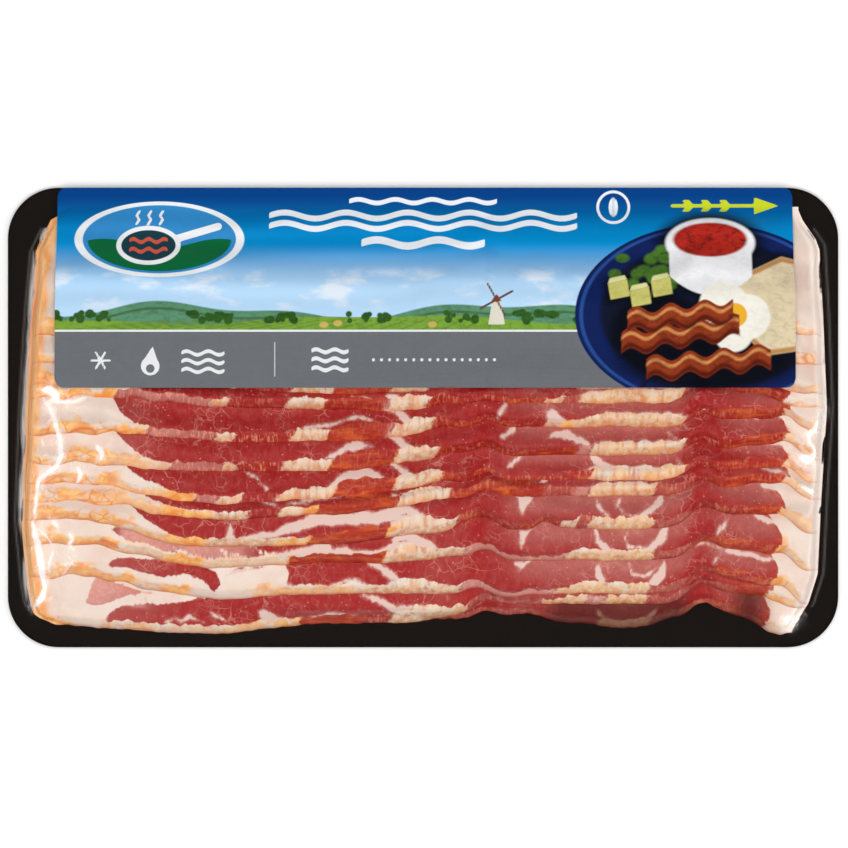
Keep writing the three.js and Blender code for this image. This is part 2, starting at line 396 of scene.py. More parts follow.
def patch(x, s, corners):
    """An area between straight sides from corner to corner."""
    inside = np.zeros(np.shape(x), dtype=bool)
    ways = []
    for (x0, s0), (x1, s1) in zip(corners, corners[1:] + corners[:1]):
        ways.append(way_to(x, s, (x0, s0), (x1, s1)))
        crossed = (s0 > s) != (s1 > s)
        inside ^= crossed & (x < (x1 - x0) * (s - s0) / (s1 - s0 + TINY) + x0)
    near = np.minimum.reduce(ways)
    return np.where(inside, near, -near)


def between(value, start, end):
    """A stretch from start to end."""
    return np.minimum(value - start, end - value)


# %% [markdown]
# ## What a slice's lower edge shows
#
# Along its lower edge each slice shows the smoked outside of the belly, in stretches that begin
# at some x: amber smears on the fat at both ends, mauve and rusty stretches of lean, and cream
# and yellow fat between. The stretches of one slice and the next are alike, a little shifted.
# Each kind has five values: how fat it is, how smoked, how creamy, how pale, and how far the
# grain stands out. Each stretch is written as the x where it starts and its kind, and the
# stretches are softly joined. Slices 0 and 1 lie under the label and take the third one's.

# %% The kinds of edge and where they run
KINDS = {
    "smear": (1, 0.9, 0, 0, 0),
    "fat": (1, 0.1, 0.1, 0, 0),
    "amber": (1, 1, 0.4, 0, 0),
    "amberish": (1, 0.65, 0.5, 0, 0),
    "creamy": (1, 0.35, 0.5, 0, 0),
    "cream": (1, 0.25, 0.95, 0, 0.3),
    "yellow": (1, 0.42, 1, 0, 0.3),
    "blush": (-0.6, 0.15, 0.3, 1.5, 0.5),
    "mauve": (-1, 0.1, 0.1, 1.3, 1),
    "streaked": (-1, 0.35, 0, 0.15, 1),
    "red": (-1, 0.12, 0, 0, 0.3),
    "rim": (-1, 0.4, 0, 0.8, 0.6),
    "ember": (-1, 0.62, 0, 0.05, 0.7),
    "rust": (-1, 1, 0, 0, 0.4),
    "burnt": (-1, 1.7, 0, 0, 0.2),
    "brown": (-1, 0.85, 0, 0.3, 0.4),
}
BLEND = 1.2
SLANT = 0.5
EDGES = {
    2: (
        "-140 smear, -99.2 mauve, -68.6 cream, -60.2 red, -42.3 cream, -28.6 rust, "
        "-9.8 cream, 1.6 ember, 50.4 yellow, 84.6 rim, 87 ember, 116.6 smear"
    ),
    3: (
        "-140 smear, -118.1 amber, -99.2 mauve, -68.6 cream, -63.1 red, -43.9 cream, "
        "-31.9 rust, -13 blush, -10.7 cream, 1.3 ember, 39.7 cream, 45.5 rim, 50.4 yellow, "
        "84.6 rim, 87 ember, 116.6 smear"
    ),
    4: (
        "-140 smear, -103.4 amber, -88.8 mauve, -67 cream, -61.2 streaked, -42.3 cream, "
        "-30.9 rust, -12.4 blush, -10.4 cream, 2.9 ember, 39.7 cream, 44.9 amber, "
        "50.4 yellow, 84.6 rim, 87 ember, 116.6 smear"
    ),
    5: (
        "-140 smear, -101.8 amberish, -88.8 creamy, -81.7 mauve, -64.4 cream, "
        "-60.5 streaked, -45.5 cream, -30.3 rust, -9.4 cream, 4.2 ember, 38.1 rust, "
        "49.4 blush, 54.3 yellow, 84.9 rim, 87 ember, 116.6 smear"
    ),
    6: (
        "-140 smear, -100.2 amberish, -83 amber, -73.5 mauve, -66 cream, -58.6 red, "
        "-46.5 cream, -29 rust, -9.4 cream, 5.9 ember, 54.3 yellow, 84.6 rim, 87 ember, "
        "116.6 smear"
    ),
    7: (
        "-140 smear, -99.2 amberish, -83.9 amber, -68.6 cream, -56.3 red, -46.5 creamy, "
        "-38.4 amber, -34.2 rust, -8.5 cream, 8.5 ember, 23.1 rust, 38.1 rim, 48.5 blush, "
        "53.7 yellow, 74.5 rim, 87 ember, 116.6 smear"
    ),
    8: (
        "-140 smear, -96.9 amberish, -83 amber, -70.3 cream, -47.5 amber, -36.8 burnt, "
        "-11.7 amber, -8.8 cream, 10.7 ember, 44.6 cream, 49.4 rim, 53.7 yellow, 74.2 rim, "
        "87 ember, 115.4 smear"
    ),
    9: (
        "-140 smear, -96.9 creamy, -83.9 amber, -71.6 creamy, -43.3 burnt, -13 cream, "
        "13 blush, 46.5 yellow, 74.2 rim, 87 ember, 114.2 smear"
    ),
    10: (
        "-140 smear, -102.8 amber, -93.7 creamy, -84.6 amber, -75.8 fat, -54.7 amberish, "
        "-18.9 cream, 11.7 blush, 43.3 yellow, 72.9 rim, 87 ember, 113 smear"
    ),
    11: (
        "-140 fat, -104 amberish, -85.6 creamy, -62.8 amberish, -46.5 amber, -40 burnt, "
        "-18.9 streaked, -10.7 cream, 14.3 rim, 38.7 yellow, 52.7 blush, 59.2 yellow, "
        "72.2 rim, 101.5 brown, 111.3 smear"
    ),
    12: "-140 fat, -40 rim, 36.8 brown, 56.9 yellow, 73.8 rim, 101.5 brown, 110.6 fat",
}


def edge_value(k, x, s, column):
    """One of the five values along slice k's edge. Each stretch ends at a slant."""
    x = x - SLANT * (np.minimum(s, 4) - 1.3)
    stretches = [part.split() for part in EDGES[max(k, 2)].split(", ")]
    starts, values = [], []
    for start, kind in stretches:
        value = KINDS[kind][column]
        starts += [float(start) - BLEND, float(start) + BLEND]
        values += [values[-1] if values else value, value]
    return np.interp(x, starts, values)


print(len(KINDS), "kinds of edge on", len(EDGES), "slices")

# %% [markdown]
# ## What a slice's face shows
#
# Above the edge band a strip of the face shows, up to where the next slice covers it. The left
# end is fat, and lean begins as a point in it. White fat also rims the rusty stretch as an arch,
# falls to the right of it as a streak and ends in a tongue, and lies round an oval muscle in the
# right half of the lower slices. All of it was placed as a list of strokes and patches:
# the slice, the width of the stroke or 0 for a patch, and its points in x and up the slice.

# %% The fat drawn on the faces
FACES = [
    (3, 0.5, [(-30.3, 2.3), (-25.4, 3.6), (-19.8, 3.9), (-14.6, 3.3)]),
    (4, 0.8, [(-43.9, 4.1), (-36.1, 4.8), (-30.3, 5.3), (-25.4, 7.2), (-21.5, 8.5), (-17.2, 7.5),
        (-12.7, 5.6)]),
    (5, 0, [(-31.9, 4.3), (-27, 7.8), (-23.1, 10.4), (-19.5, 10.1), (-15.6, 8.1), (-19.5, 7.5),
        (-24.4, 7.1), (-28.6, 4.9)]),
    (6, 0, [(-32.9, 2.4), (-27, 6.9), (-23.1, 10.4), (-18.5, 10.8), (-14.3, 9.1), (-12.4, 5.9),
        (-17.2, 6.8), (-23.1, 6.2), (-27.7, 3.3)]),
    (7, 0, [(-46.5, 3.3), (-40, 4.9), (-35.1, 6), (-30.3, 6.9), (-25.4, 6.9), (-30.3, 5.3),
        (-36.8, 4.1)]),
    (8, 0, [(-50.4, 3.5), (-46.2, 6.5), (-35.8, 9.9), (-25.4, 10.7), (-15.6, 11), (-8.8, 12.3),
        (-4.9, 11.2), (-7.5, 7.1), (-12, 6.8), (-25, 6.5), (-35.8, 5.6), (-43.3, 4)]),
    (9, 0, [(-59.5, -0.4), (-52.4, 4.1), (-43.3, 4.7), (-36.8, 5.7), (-31.2, 6.9), (-28.6, 4.3),
        (-25, 5.5), (-21.8, 4.2), (-14.6, 4.5), (-8.1, 8.4), (-6.5, 3.2), (-13, 1.9),
        (-30.3, 0.7), (-43.3, -0.5)]),
    (10, 1.3, [(-45.5, 4.2), (-40, 1.9), (-34.2, 2.7), (-30.3, 2), (-26, 3.9), (-21.5, 4.2),
        (-17.9, 2.6), (-14, 1)]),
    (11, 0.9, [(-40, 0.9), (-33.5, 2.2), (-28.6, 3.4), (-23.7, 2.6), (-17.9, 1.9)]),
    (4, 1.6, [(-11.4, 11.1), (-7.5, 9.4), (-4.9, 6.7), (-2.9, 4.3)]),
    (5, 1.7, [(-12, 12.3), (-8.1, 10.4), (-4.9, 7.3), (-2.9, 5.2)]),
    (6, 1.7, [(-11.4, 12), (-7.5, 9.7), (-4.2, 6.6), (-2.3, 4.4)]),
    (7, 1.5, [(-10.1, 6.5), (-6.8, 4.8), (-3.6, 2.3)]),
    (8, 2.2, [(-8.8, 12), (-4.2, 10.5), (0.3, 7.4), (5.5, 4.8)]),
    (9, 2.4, [(-10.7, 7.2), (-5.9, 8.4), (0.3, 6.1), (5.5, 3)]),
    (10, 2.0, [(-18.5, 10.4), (-14.6, 9.1), (-10.7, 6.2), (-6.8, 3.9)]),
    (11, 1.9, [(-19.8, 9.4), (-15, 7.8), (-10.1, 5.2), (-6.8, 3.1)]),
    (3, 1.4, [(-12.7, 4.9), (-8.8, 3.9), (-4.9, 1.9)]),
    (8, 0, [(-11.4, 6.5), (-7.5, 10), (-1, 8.6), (5.9, 6.4), (10.7, 4.2), (8.8, 1.4),
        (-10.7, 3.2)]),
    (9, 0, [(-13, 1.9), (-8.8, 7.1), (-2.6, 6.8), (5.5, 4), (13.7, 2), (5.5, -0.2), (-12.4, -0)]),
    (10, 0, [(-15.3, -0.3), (-10.1, 4.2), (-4.2, 5.2), (5.5, 3.3), (12, 1.4), (7.2, -1)]),
    (11, 0, [(-12.4, 0.3), (-7.5, 5.8), (-2.6, 6), (5.5, 3.2), (14.6, -0.8), (8.8, -2)]),
    (8, 0, [(-65.4, 0.9), (-62.1, 8.7), (-59.2, 0.8)]),
    (8, 1.6, [(-62.1, 2.8), (-55.6, 3.6), (-45.2, 4.5)]),
    (10, 0, [(-64.7, 2.6), (-64.1, 9.4), (-59.5, 10), (-52.4, 9.9), (-44.6, 8.1), (-43.3, 1.5)]),
    (11, 0, [(-52.4, 1.7), (-53.7, 5.7), (-51.4, 6.4), (-48.1, 4.4), (-42.6, 1.2)]),
    (11, 0.8, [(-69, 7), (-66.7, 5.6), (-64.1, 4.2)]),
    (11, 0.9, [(-83.9, 3.2), (-80.7, 4.7), (-78.4, 3.9), (-75.8, 5.3), (-71.6, 3.7)]),
    (6, 0.5, [(-58.6, 10.6), (-53.7, 7.7), (-50.4, 4.2)]),
    (7, 0.5, [(-56.3, 7.6), (-49.8, 4.5), (-44.9, 2.5)]),
    (4, 0, [(39.7, 1), (40, 4.9), (42.3, 5.9), (44.6, 3.9), (47.2, 1.6), (43.3, 0.7)]),
    (5, 0, [(40, 5.5), (42, 8.1), (46.2, 8.1), (49.8, 6.2), (53, 4.9), (55.6, 2.3), (50.1, 3.6),
        (44.6, 5.2)]),
    (6, 0, [(53, 8.7), (57.6, 7), (60.5, 5.1), (58.6, 3.1), (55, 5.4)]),
    (4, 1.3, [(27, 8.2), (25.4, 5.2), (24.1, 2.4)]),
    (5, 1.5, [(29.6, 9.3), (27.3, 7.3), (25, 5.5)]),
    (6, 1.3, [(32.5, 8.4), (29.6, 6.6), (27, 4.2)]),
    (8, 0, [(30.3, 11.1), (36.1, 11.2), (34.2, 8.3), (31.9, 4.8), (30.6, 7.5)]),
    (9, 0, [(31.2, 9.6), (35.1, 10.3), (33.5, 7), (31.9, 3.8)]),
    (10, 0, [(29.3, 10.3), (35.1, 11.4), (33.2, 8.5), (31.2, 7.1)]),
    (7, 2.6, [(39.4, 5.7), (39.7, 4.7)]),
    (7, 2.2, [(39.7, 2.8), (39.7, 2.5)]),
    (8, 1.3, [(55.6, 10.9), (56.9, 7.3), (59.9, 4.4)]),
    (8, 1.7, [(77.7, 12.4), (76.1, 8.2), (71.9, 5), (67.3, 3.4)]),
    (8, 0.6, [(63.8, 10.2), (62.5, 8.3), (64.7, 5.4), (67.3, 4.4)]),
    (9, 1.6, [(55.6, 10.3), (56.6, 6.4), (59.9, 3.1), (63.4, 1.5)]),
    (9, 2.2, [(78.4, 10.7), (77.1, 6.9), (73.8, 4.1), (69.3, 1.8)]),
    (9, 0.8, [(66.4, 9.9), (65.1, 7.3), (66.7, 4.7), (70.6, 4.1), (74.5, 5.4)]),
    (10, 1.8, [(56.6, 10.1), (56.6, 6.2), (58.9, 2.9), (62.1, 1)]),
    (10, 2.2, [(78.1, 10.6), (77.1, 6.1), (73.8, 2.9), (69.3, 0.7)]),
    (10, 0.9, [(66.7, 9.8), (67.7, 6.5), (71.6, 5.9), (75.8, 8.4)]),
    (12, 1.1, [(56.3, 5.4), (58.2, 3.2), (61.5, 1.8)]),
    (12, 1.1, [(76.4, 5.1), (73.8, 3.3), (70.6, 2.1)]),
    (3, 0.6, [(78.1, 1.5), (79.7, -0.3), (82.3, -3.4)]),
    (4, 0.7, [(77.7, 0.9), (79.4, -1.3), (80.7, -4.1)]),
    (5, 0.6, [(79, 7.2), (81, 4.9), (84.9, 0.7)]),
    (6, 0.6, [(81.7, 5.8), (83, 2.9)]),
    (9, 0.6, [(94, 1.2), (96.6, 6.4), (99.2, 10.4)]),
    (10, 0.6, [(93.4, 3.8), (96, 8.3), (97.9, 11.5)]),
]
print(len(FACES), "strokes and patches of fat")

# %% [markdown]
# ## Lean, marks and strands
#
# Three of the lower slices show islands of lean in their fat, drawn as patches with corners.
# Smoke leaves a few thin marks in the fat at the left. Thin pale strands run through the lobes
# at the right, in the same height above the edge on each slice, whatever bend the slice has.

# %% The lean, the marks and the strands drawn on the faces
LEANS = [
    (10, [(-102.1, 5.2), (-101.8, 6.3), (-93.4, 9.1), (-85.6, 10.6), (-77.1, 10.9),
        (-70.9, 10.1), (-67, 8.7), (-65.4, 5.5), (-68, 1.8), (-70.6, 5.9), (-77.1, 7),
        (-83.6, 4.9), (-88.5, 5.1), (-93.4, 5.5), (-100.2, 4.6)]),
    (10, [(-63.4, 7.8), (-59.5, 10.3), (-52.4, 9.3), (-59.5, 8.7)]),
    (10, [(-44.2, 2.8), (-43.3, 6.7), (-44.6, 10.7), (-30.3, 12.1), (-14.6, 13.3), (-8.8, 10.7),
        (12, 10.5), (15.3, -3.4), (-10.1, 1.6), (-23.1, 4.3), (-30.3, 2.3), (-36.8, 3.8)]),
    (11, [(-103.4, 1.9), (-102.8, 4.2), (-100.8, 6), (-97.9, 7.8), (-87.8, 8.9), (-77.1, 10.4),
        (-69, 11.9), (-59.5, 11.7), (-43.3, 11), (-30.3, 11.5), (-8.8, 12), (5.5, 10.3),
        (15.3, -7.1), (-10.7, -1), (-30.3, -0.8), (-62.8, 2.2), (-88.8, 1.6), (-101.2, 0.8)]),
    (8, [(-11.7, 10.9), (-9.5, 12.3), (-6.5, 11.6), (-5.2, 9.8), (-7.5, 8.6), (-10.5, 9.2)]),
    (11, [(-106, 16.7), (-99.2, 14.9), (-91.1, 12.6), (-99.2, 10), (-104.4, 7.7), (-109.6, 7.6),
        (-108.3, 11.9)]),
]
MARKS = [
    (4, 0.7, [(-117.4, -2), (-113.2, 0.6), (-109.6, 1.7), (-106.4, 2), (-105.4, -0.8),
              (-104, -4)]),
    (9, 1.3, [(-104, 1.6), (-101.5, 2), (-99, 1.4)]),
    (8, 0.6, [(-112, 1.2), (-110.5, 3.5)]),
    (11, 0.5, [(-99, 14.2), (-94, 12.8), (-88, 12.6)]),
]
STRANDS = [
    (5, 1.2, [(106.5, 9.4), (109.5, 8.8)]),
    (5, 1.4, [(114.5, 8.8), (117.5, 7.2)]),
    (6, 1.3, [(108.5, 9.5), (112, 8.4), (117, 7.4), (119.5, 5.5)]),
    (7, 1.2, [(109.5, 4.8), (113, 4.2), (118, 3)]),
    (8, 1.6, [(108.5, 10), (112, 9.4), (116, 7.6)]),
    (9, 1.5, [(106.5, 12), (110, 11.2), (113.5, 10.4)]),
    (10, 1.1, [(89, 9.4), (95, 9), (105, 9.3), (112, 8.7), (119.5, 8.4)]),
    (11, 1.1, [(104, 5.6), (108, 5), (113, 4)]),
]
print(len(LEANS), "islands of lean,", len(MARKS), "marks,", len(STRANDS), "strands")

# %% [markdown]
# ## How high the smoked edge reaches
#
# The band along the lower edge is nearly as high as a slice is thick, and higher where the slice
# leans back: over the rusty arch, at the tongue of cream and along the yellow stretch. It is
# lower right of the tongue and in the right groove. Its height is a sum of soft steps and
# hills, slice by slice.

# %% The height of the edge band
BAND_HEIGHT = 2.7
MIDDLE_OF_ARCH = -20
BAND_ARCH = [0, 0, 1, 1.5, 3.2, 3.4, 3.4, 3.2, 2.2, 0.2, -0.8, 0, 0]
TONGUES = {2: (2.0, -4), 3: (2.2, -4), 4: (2.2, -3), 5: (2.2, -3), 6: (2.2, -2), 7: (2.2, 0),
           8: (3.4, -1), 9: (2.9, -4), 10: (2.2, -3), 11: (2.4, -1)}
CREAM_RISE = {8: 1.5, 9: 0.8, 10: 1.0, 11: 0.3}


def band_height(k, x):
    """How far the smoked edge reaches up the slice."""
    arch = BAND_ARCH[k] * hill(x - MIDDLE_OF_ARCH, 8.5)
    right = 1.6 * step(50, 60, x) * (1 - step(79, 84, x)) * (k in (3, 4, 5, 6, 7))
    brown = 2.5 * hill(x - 31, 8) * (k == 7)
    lobes = 0.1 * step(93, 97, x) * (1 - step(112, 118, x))
    lobes = lobes - 1.5 * step(84, 88, x) * (1 - step(92, 97, x))
    start = 16 if k in (8, 9, 10, 11) else 6
    lobes = lobes - 1.2 * step(start, start + 8, x) * (1 - step(42, 50, x)) * (k != 7)
    high, middle = TONGUES.get(k, (0, 0))
    tongue = high * hill(x - middle, 7.5) + 1.2 * hill(x + 38, 6) * (2 <= k <= 6)
    tongue = tongue + CREAM_RISE.get(k, 0) * step(47, 52, x) * (1 - step(71, 76, x))
    return BAND_HEIGHT + arch + right + brown + lobes + tongue + 0.45 * wave(x, 7, 20 + k)


# %% [markdown]
# ## Fat, streaks and paleness as fields
#
# Three fields sum up a face: how far a point lies inside the fat of the two ends, how far
# inside a streak of fat within the lean, and how pale the lean is. The border of the left fat
# runs as a curve that flattens to the right, and the right end is a shallow bow. Fields are
# used because the material can soften or roughen their borders as it likes.

# %% The fields of a face
LEAN_STARTS = -99.2
RIGHT_FAT = 118.6
STREAK_GROWTH = 1.4


def face_fat(k, x, s):
    """Above zero in the fat of the ends, and the same for the right end alone."""
    spread = 6.3 + 1.1 * max(0, k - 5)
    way_in = (x - LEAN_STARTS - 0.4 * (k - 4)) / spread
    field = 2.6 + 8 * np.exp(-np.clip(way_in, -3, 30)) - s
    field = field - 1.4 * step(-90, -72, x) - 2 * step(-20, 20, x)
    if k in (10, 11):
        # the left parts of these two are fat, with their lean as drawn islands
        field = np.where(x < -8, np.maximum(field, 0.6), field)
    for slice_number, corners in LEANS:
        if slice_number == k:
            field = np.minimum(field, -patch(x, s, corners))
    if k == 9:
        # this one has a mottled tongue of lean at the left, half fat itself
        tongue = patch(x, s, [(-101, 6.6), (-97, 9.2), (-45, 12), (-45, 3), (-80, 3.4),
                              (-96, 4.6)])
        mottled = -0.45 + 0.5 * wave(x + 2 * s, 11, 3) + 0.35 * step(6, 3.5, s)
        field = np.maximum(-tongue, mottled) * (x < -46) + field * (x >= -46)
    right_end = x - RIGHT_FAT + 0.09 * (s - 6) ** 2 + 1.2 * max(0, k - 7)
    return np.maximum(field, right_end), right_end


def face_streak(k, x, s):
    """Above zero on the fat that lies within the lean."""
    top = band_height(k, x)
    field = OUTSIDE + 0 * x
    for slice_number, width, points in FACES:
        if slice_number == k:
            shape = (tapered(x, s, points, width * STREAK_GROWTH) if width
                     else patch(x, s, points))
            field = np.maximum(field, shape)
    if k in (3, 4, 5, 6, 7):
        rim = np.minimum(between(s, top - 1.6, top + 0.3),
                         between(x, 52, 83.5 if k < 7 else 72))
        field = np.maximum(field, rim)
    return field


PALENESS = [(-105, 0.6), (-95, 0.35), (-80, 0.1), (-30, 0.05), (-8, 0.05), (2, 0.2),
            (10, 0.15), (18, 0), (23, 0.15), (33, 0.6), (50, 0.65), (70, 0.75), (84, 0.5),
            (90, 0), (97, 0.45), (106, 0.6), (118, 0.3)]


def face_pale(k, x, s):
    """Lean runs from deep red in the middle of the left half to a paler pink at the right."""
    places, paleness = zip(*PALENESS)
    values = np.interp(x, places, paleness)
    if k == 9:
        values = values + 1.3 * step(-101, -96, x) * (1 - step(-60, -50, x))
    values = values + step(20, 35, x) * (0.7 * step(2, 9.5, s) - 0.35)
    if k >= 10:
        values = values + 0.2 * (1 - step(-90, -50, x))
    if k == 11:
        values = values + 0.9 * step(6.5, 8, s) * (1 - step(-92, -86, x))
    return values


# %% [markdown]
# ## The slices
#
# Every slice is cut as a blank of 258 by 44 mm and laid in its place. Rows of points are close
# together near the lower edge, which shows, and wide apart where the next slice covers it.

# %% Cutting and laying the thirteen slices
SLICE_COLUMNS = 380
SLICE_ROWS = 38
SHOWN_ROWS = 0.76
SHOWN_WIDTH = 15
LEAST_THICKNESS = 0.12
SLICE_GAP = 0.04
TOP_GATHER = 0.3
UNDERSIDE_RISE = 0.01


def row_height(share):
    """Millimetres up from the lower edge for each row of a slice."""
    shown = SHOWN_WIDTH * share / SHOWN_ROWS
    hidden = SHOWN_WIDTH + (SLICE_WIDTH - SHOWN_WIDTH) * (share - SHOWN_ROWS) / (1 - SHOWN_ROWS)
    return np.where(share < SHOWN_ROWS, shown, hidden)


def lay_slice(k):
    """Cuts and lays slice k. Gives it with each point's x, y and way up from the edge."""
    name = f"slice_{k + 1:02d}"
    piece = cut_blank(name, SLICE_LENGTH, SLICE_WIDTH, SLICE_COLUMNS, SLICE_ROWS, SLICE_THICKNESS)
    along, up, on_top = blank_shares(piece, SLICE_LENGTH, SLICE_WIDTH)
    s = row_height(up)
    half = SLICE_LENGTH / 2
    left = side_at(LEFT_SIDE, lower_edge(k, -half + 0 * s) + s)
    right = side_at(RIGHT_SIDE, lower_edge(k, half + 0 * s) + s)
    x = left + (right - left) * along
    y = np.minimum(lower_edge(k, x) + s, STACK_TOP - TOP_GATHER * (1 - up))
    below = pile(k + 1, x, y)[0] if k < LAST else 0 * x
    above, own = pile(k, x, y)
    above = np.maximum(above, below + LEAST_THICKNESS)
    bottom = np.minimum(below + (SLICE_THICKNESS - own) * UNDERSIDE_RISE,
                        above - LEAST_THICKNESS)
    lay(piece, x, y, FILM_FLAT + np.where(on_top, above, bottom + SLICE_GAP))
    return piece, x, y, s


laid = [lay_slice(k) for k in range(LAST + 1)]
slices = [piece for piece, _, _, _ in laid]
print("slices of", len(slices[0].data.polygons), "faces")

# %% [markdown]
# ## Noting the pattern on the points
#
# The material can't know where a slice's fat is, so every point carries a few numbers that say
# it. Numbers on points were chosen over a painted picture: they need no flattening of the mesh,
# stay with the piece and can be changed by a single value above. The faces were drawn over
# edges without their small bends, so a point's small bend is added to its way up first.

# %% Writing the fields on the thirteen slices
def strokes(rows, k, x, s, draw, growth=1.0):
    """The fields of those strokes in the rows that belong to slice k."""
    return [draw(x, s, points, growth * width) for j, width, points in rows if j == k]


def note_edge(k, piece, x, s):
    """The five values along the lower edge, and how far up the band reaches."""
    note(piece, "edge_fat", edge_value(k, x, s, 0))
    note(piece, "edge_smoke", edge_value(k, x, s, 1) + 0.25 * step(92, 96, x) * (x < 116)
         - 0.3 * step(115, 118, x))
    note(piece, "cream", edge_value(k, x, s, 2))
    note(piece, "edge_pale", edge_value(k, x, s, 3))
    note(piece, "grain", edge_value(k, x, s, 4))
    note(piece, "from_band", s - band_height(k, x))
    note(piece, "up", s)


def note_face(k, piece, x, s):
    """Fat, streaks, paleness, smoke and marks above the band."""
    drawn = s + small_bend(k, x)
    fat, right_end = face_fat(k, x, drawn)
    note(piece, "face_fat", fat)
    strands = strokes(STRANDS, k, x, s, tapered, STREAK_GROWTH)
    note(piece, "face_streak", np.maximum.reduce([face_streak(k, x, drawn)] + strands))
    note(piece, "face_pale", face_pale(k, x, drawn))
    lobes = step(92, 96, x) * (1 - step(117, 120, x))
    smoked = 0.85 * hill(right_end + 0.4, 1.0) * (x > 100)
    note(piece, "face_smoke", smoked + 0.9 * lobes * hill(s - band_height(k, x), 0.7))
    marks = strokes(MARKS, k, x, s, line)
    note(piece, "mark", np.maximum.reduce(marks + [OUTSIDE + 0 * x]))
    dim = step(34, 46, x) * (1 - step(82, 90, x)) + hill(x - 106, 6) if k == LAST else 0 * x
    note(piece, "dim", dim)


def note_ends(piece, x, y):
    """How near each point is to the two steep ends of the stack."""
    to_left = x - side_at(LEFT_SIDE, y)
    to_right = side_at(RIGHT_SIDE, y) - x
    note(piece, "right_wall", 1 - step(2.2, 4.6, to_right + 0.7 * wave(y, 17, 9)))
    note(piece, "wall", 1 - step(4.4, 7, to_left + 0.9 * wave(y, 14, 5)))


for k, (piece, x, y, s) in enumerate(laid):
    note_edge(k, piece, x, s)
    note_face(k, piece, x, s)
    note_ends(piece, x, y)
print("noted on each slice:", len(slices[0].data.attributes), "layers")

# %% [markdown]
# ## A short hand for materials
#
# A material here is a chain of small sums. Writing each node out would bury the recipe, so this
# class holds one material and gives each kind of node a short call. Numbers and sockets can be
# given alike. Colours are written as they look in daylight, from 0 to 255, and turned into the
# linear values that the shader needs.

# %% The recipe helper
def paint(red, green, blue):
    """A daylight colour as linear values."""
    def linear(v):
        v = v / 255
        return v / 12.92 if v <= 0.04045 else ((v + 0.055) / 1.055) ** 2.4
    return (linear(red), linear(green), linear(blue), 1)


class Recipe:
    """One material, and a short call for each kind of node in it."""

    def __init__(self, name):
        self.material = bpy.data.materials.new(name)
        self.material.use_nodes = True
        self.nodes = self.material.node_tree.nodes
        self.links = self.material.node_tree.links
        self.nodes.clear()

    def add(self, kind, **settings):
        node = self.nodes.new(kind)
        for key, value in settings.items():
            setattr(node, key, value)
        return node

    def feed(self, socket, value):
        if isinstance(value, bpy.types.NodeSocket):
            self.links.new(value, socket)
        elif value is not None:
            socket.default_value = value

    def sum(self, operation, *values, clamp=False):
        node = self.add("ShaderNodeMath", operation=operation, use_clamp=clamp)
        for socket, value in zip(node.inputs, values):
            self.feed(socket, value)
        return node.outputs[0]

    def times(self, a, b):
        return self.sum("MULTIPLY", a, b)

    def plus(self, a, b):
        return self.sum("ADD", a, b)

    def minus(self, a, b):
        return self.sum("SUBTRACT", a, b)

    def larger(self, *values):
        result = values[0]
        for value in values[1:]:
            result = self.sum("MAXIMUM", result, value)
        return result

    def rise(self, value, start, end, low=0.0, high=1.0):
        """The same soft step as above, from low at start to high at end."""
        node = self.add("ShaderNodeMapRange", interpolation_type="SMOOTHSTEP")
        for name, given in zip(("Value", "From Min", "From Max", "To Min", "To Max"),
                               (value, start, end, low, high)):
            self.feed(node.inputs[name], given)
        return node.outputs[0]

    def mix(self, share, a, b, blend="MIX"):
        node = self.add("ShaderNodeMix", data_type="RGBA", blend_type=blend)
        self.feed(node.inputs["Factor"], share)
        self.feed(node.inputs[6], a)
        self.feed(node.inputs[7], b)
        return node.outputs[2]

    def noted(self, name):
        """A number that was written on the piece's points."""
        return self.add("ShaderNodeAttribute", attribute_name=name).outputs["Fac"]

    def place(self, scale=(1, 1, 1), at=(0, 0, 0)):
        """The point on the piece in metres, stretched by scale."""
        coordinates = self.add("ShaderNodeTexCoord").outputs["Object"]
        node = self.add("ShaderNodeMapping")
        self.links.new(coordinates, node.inputs["Vector"])
        node.inputs["Scale"].default_value = scale
        node.inputs["Location"].default_value = at
        return node.outputs[0]

    def noise(self, place, scale, detail=2.0, roughness=0.5, bend=0.0):
        node = self.add("ShaderNodeTexNoise")
        self.feed(node.inputs["Vector"], place)
        node.inputs["Scale"].default_value = scale
        node.inputs["Detail"].default_value = detail
        node.inputs["Roughness"].default_value = roughness
        node.inputs["Distortion"].default_value = bend
        return node.outputs["Fac"]

    def cells(self, place, scale, feature="DISTANCE_TO_EDGE"):
        node = self.add("ShaderNodeTexVoronoi", feature=feature)
        self.feed(node.inputs["Vector"], place)
        node.inputs["Scale"].default_value = scale
        return node.outputs["Distance"]

    def bump(self, height, distance, strength=1.0):
        node = self.add("ShaderNodeBump")
        node.inputs["Strength"].default_value = strength
        node.inputs["Distance"].default_value = distance
        self.feed(node.inputs["Height"], height)
        return node.outputs[0]

    def surface(self, **sockets):
        shader = self.add("ShaderNodeBsdfPrincipled")
        for name, value in sockets.items():
            self.feed(shader.inputs[name.replace("_", " ")], value)
        return shader.outputs[0]

    def finish(self, shader):
        output = self.add("ShaderNodeOutputMaterial")
        self.links.new(shader, output.inputs["Surface"])
        print("material", self.material.name, "of", len(self.nodes), "nodes")
        return self.material


# %% [markdown]
# ## Cured, smoked belly
#
# One material serves all thirteen slices. It reads the numbers on their points and mixes lean,
# fat and smoke by them. Lean comes first. It has fine pale veins and flecks, which no drawing
# by hand could give in number. A web of cells does it, bent by a noise and shown in patches.

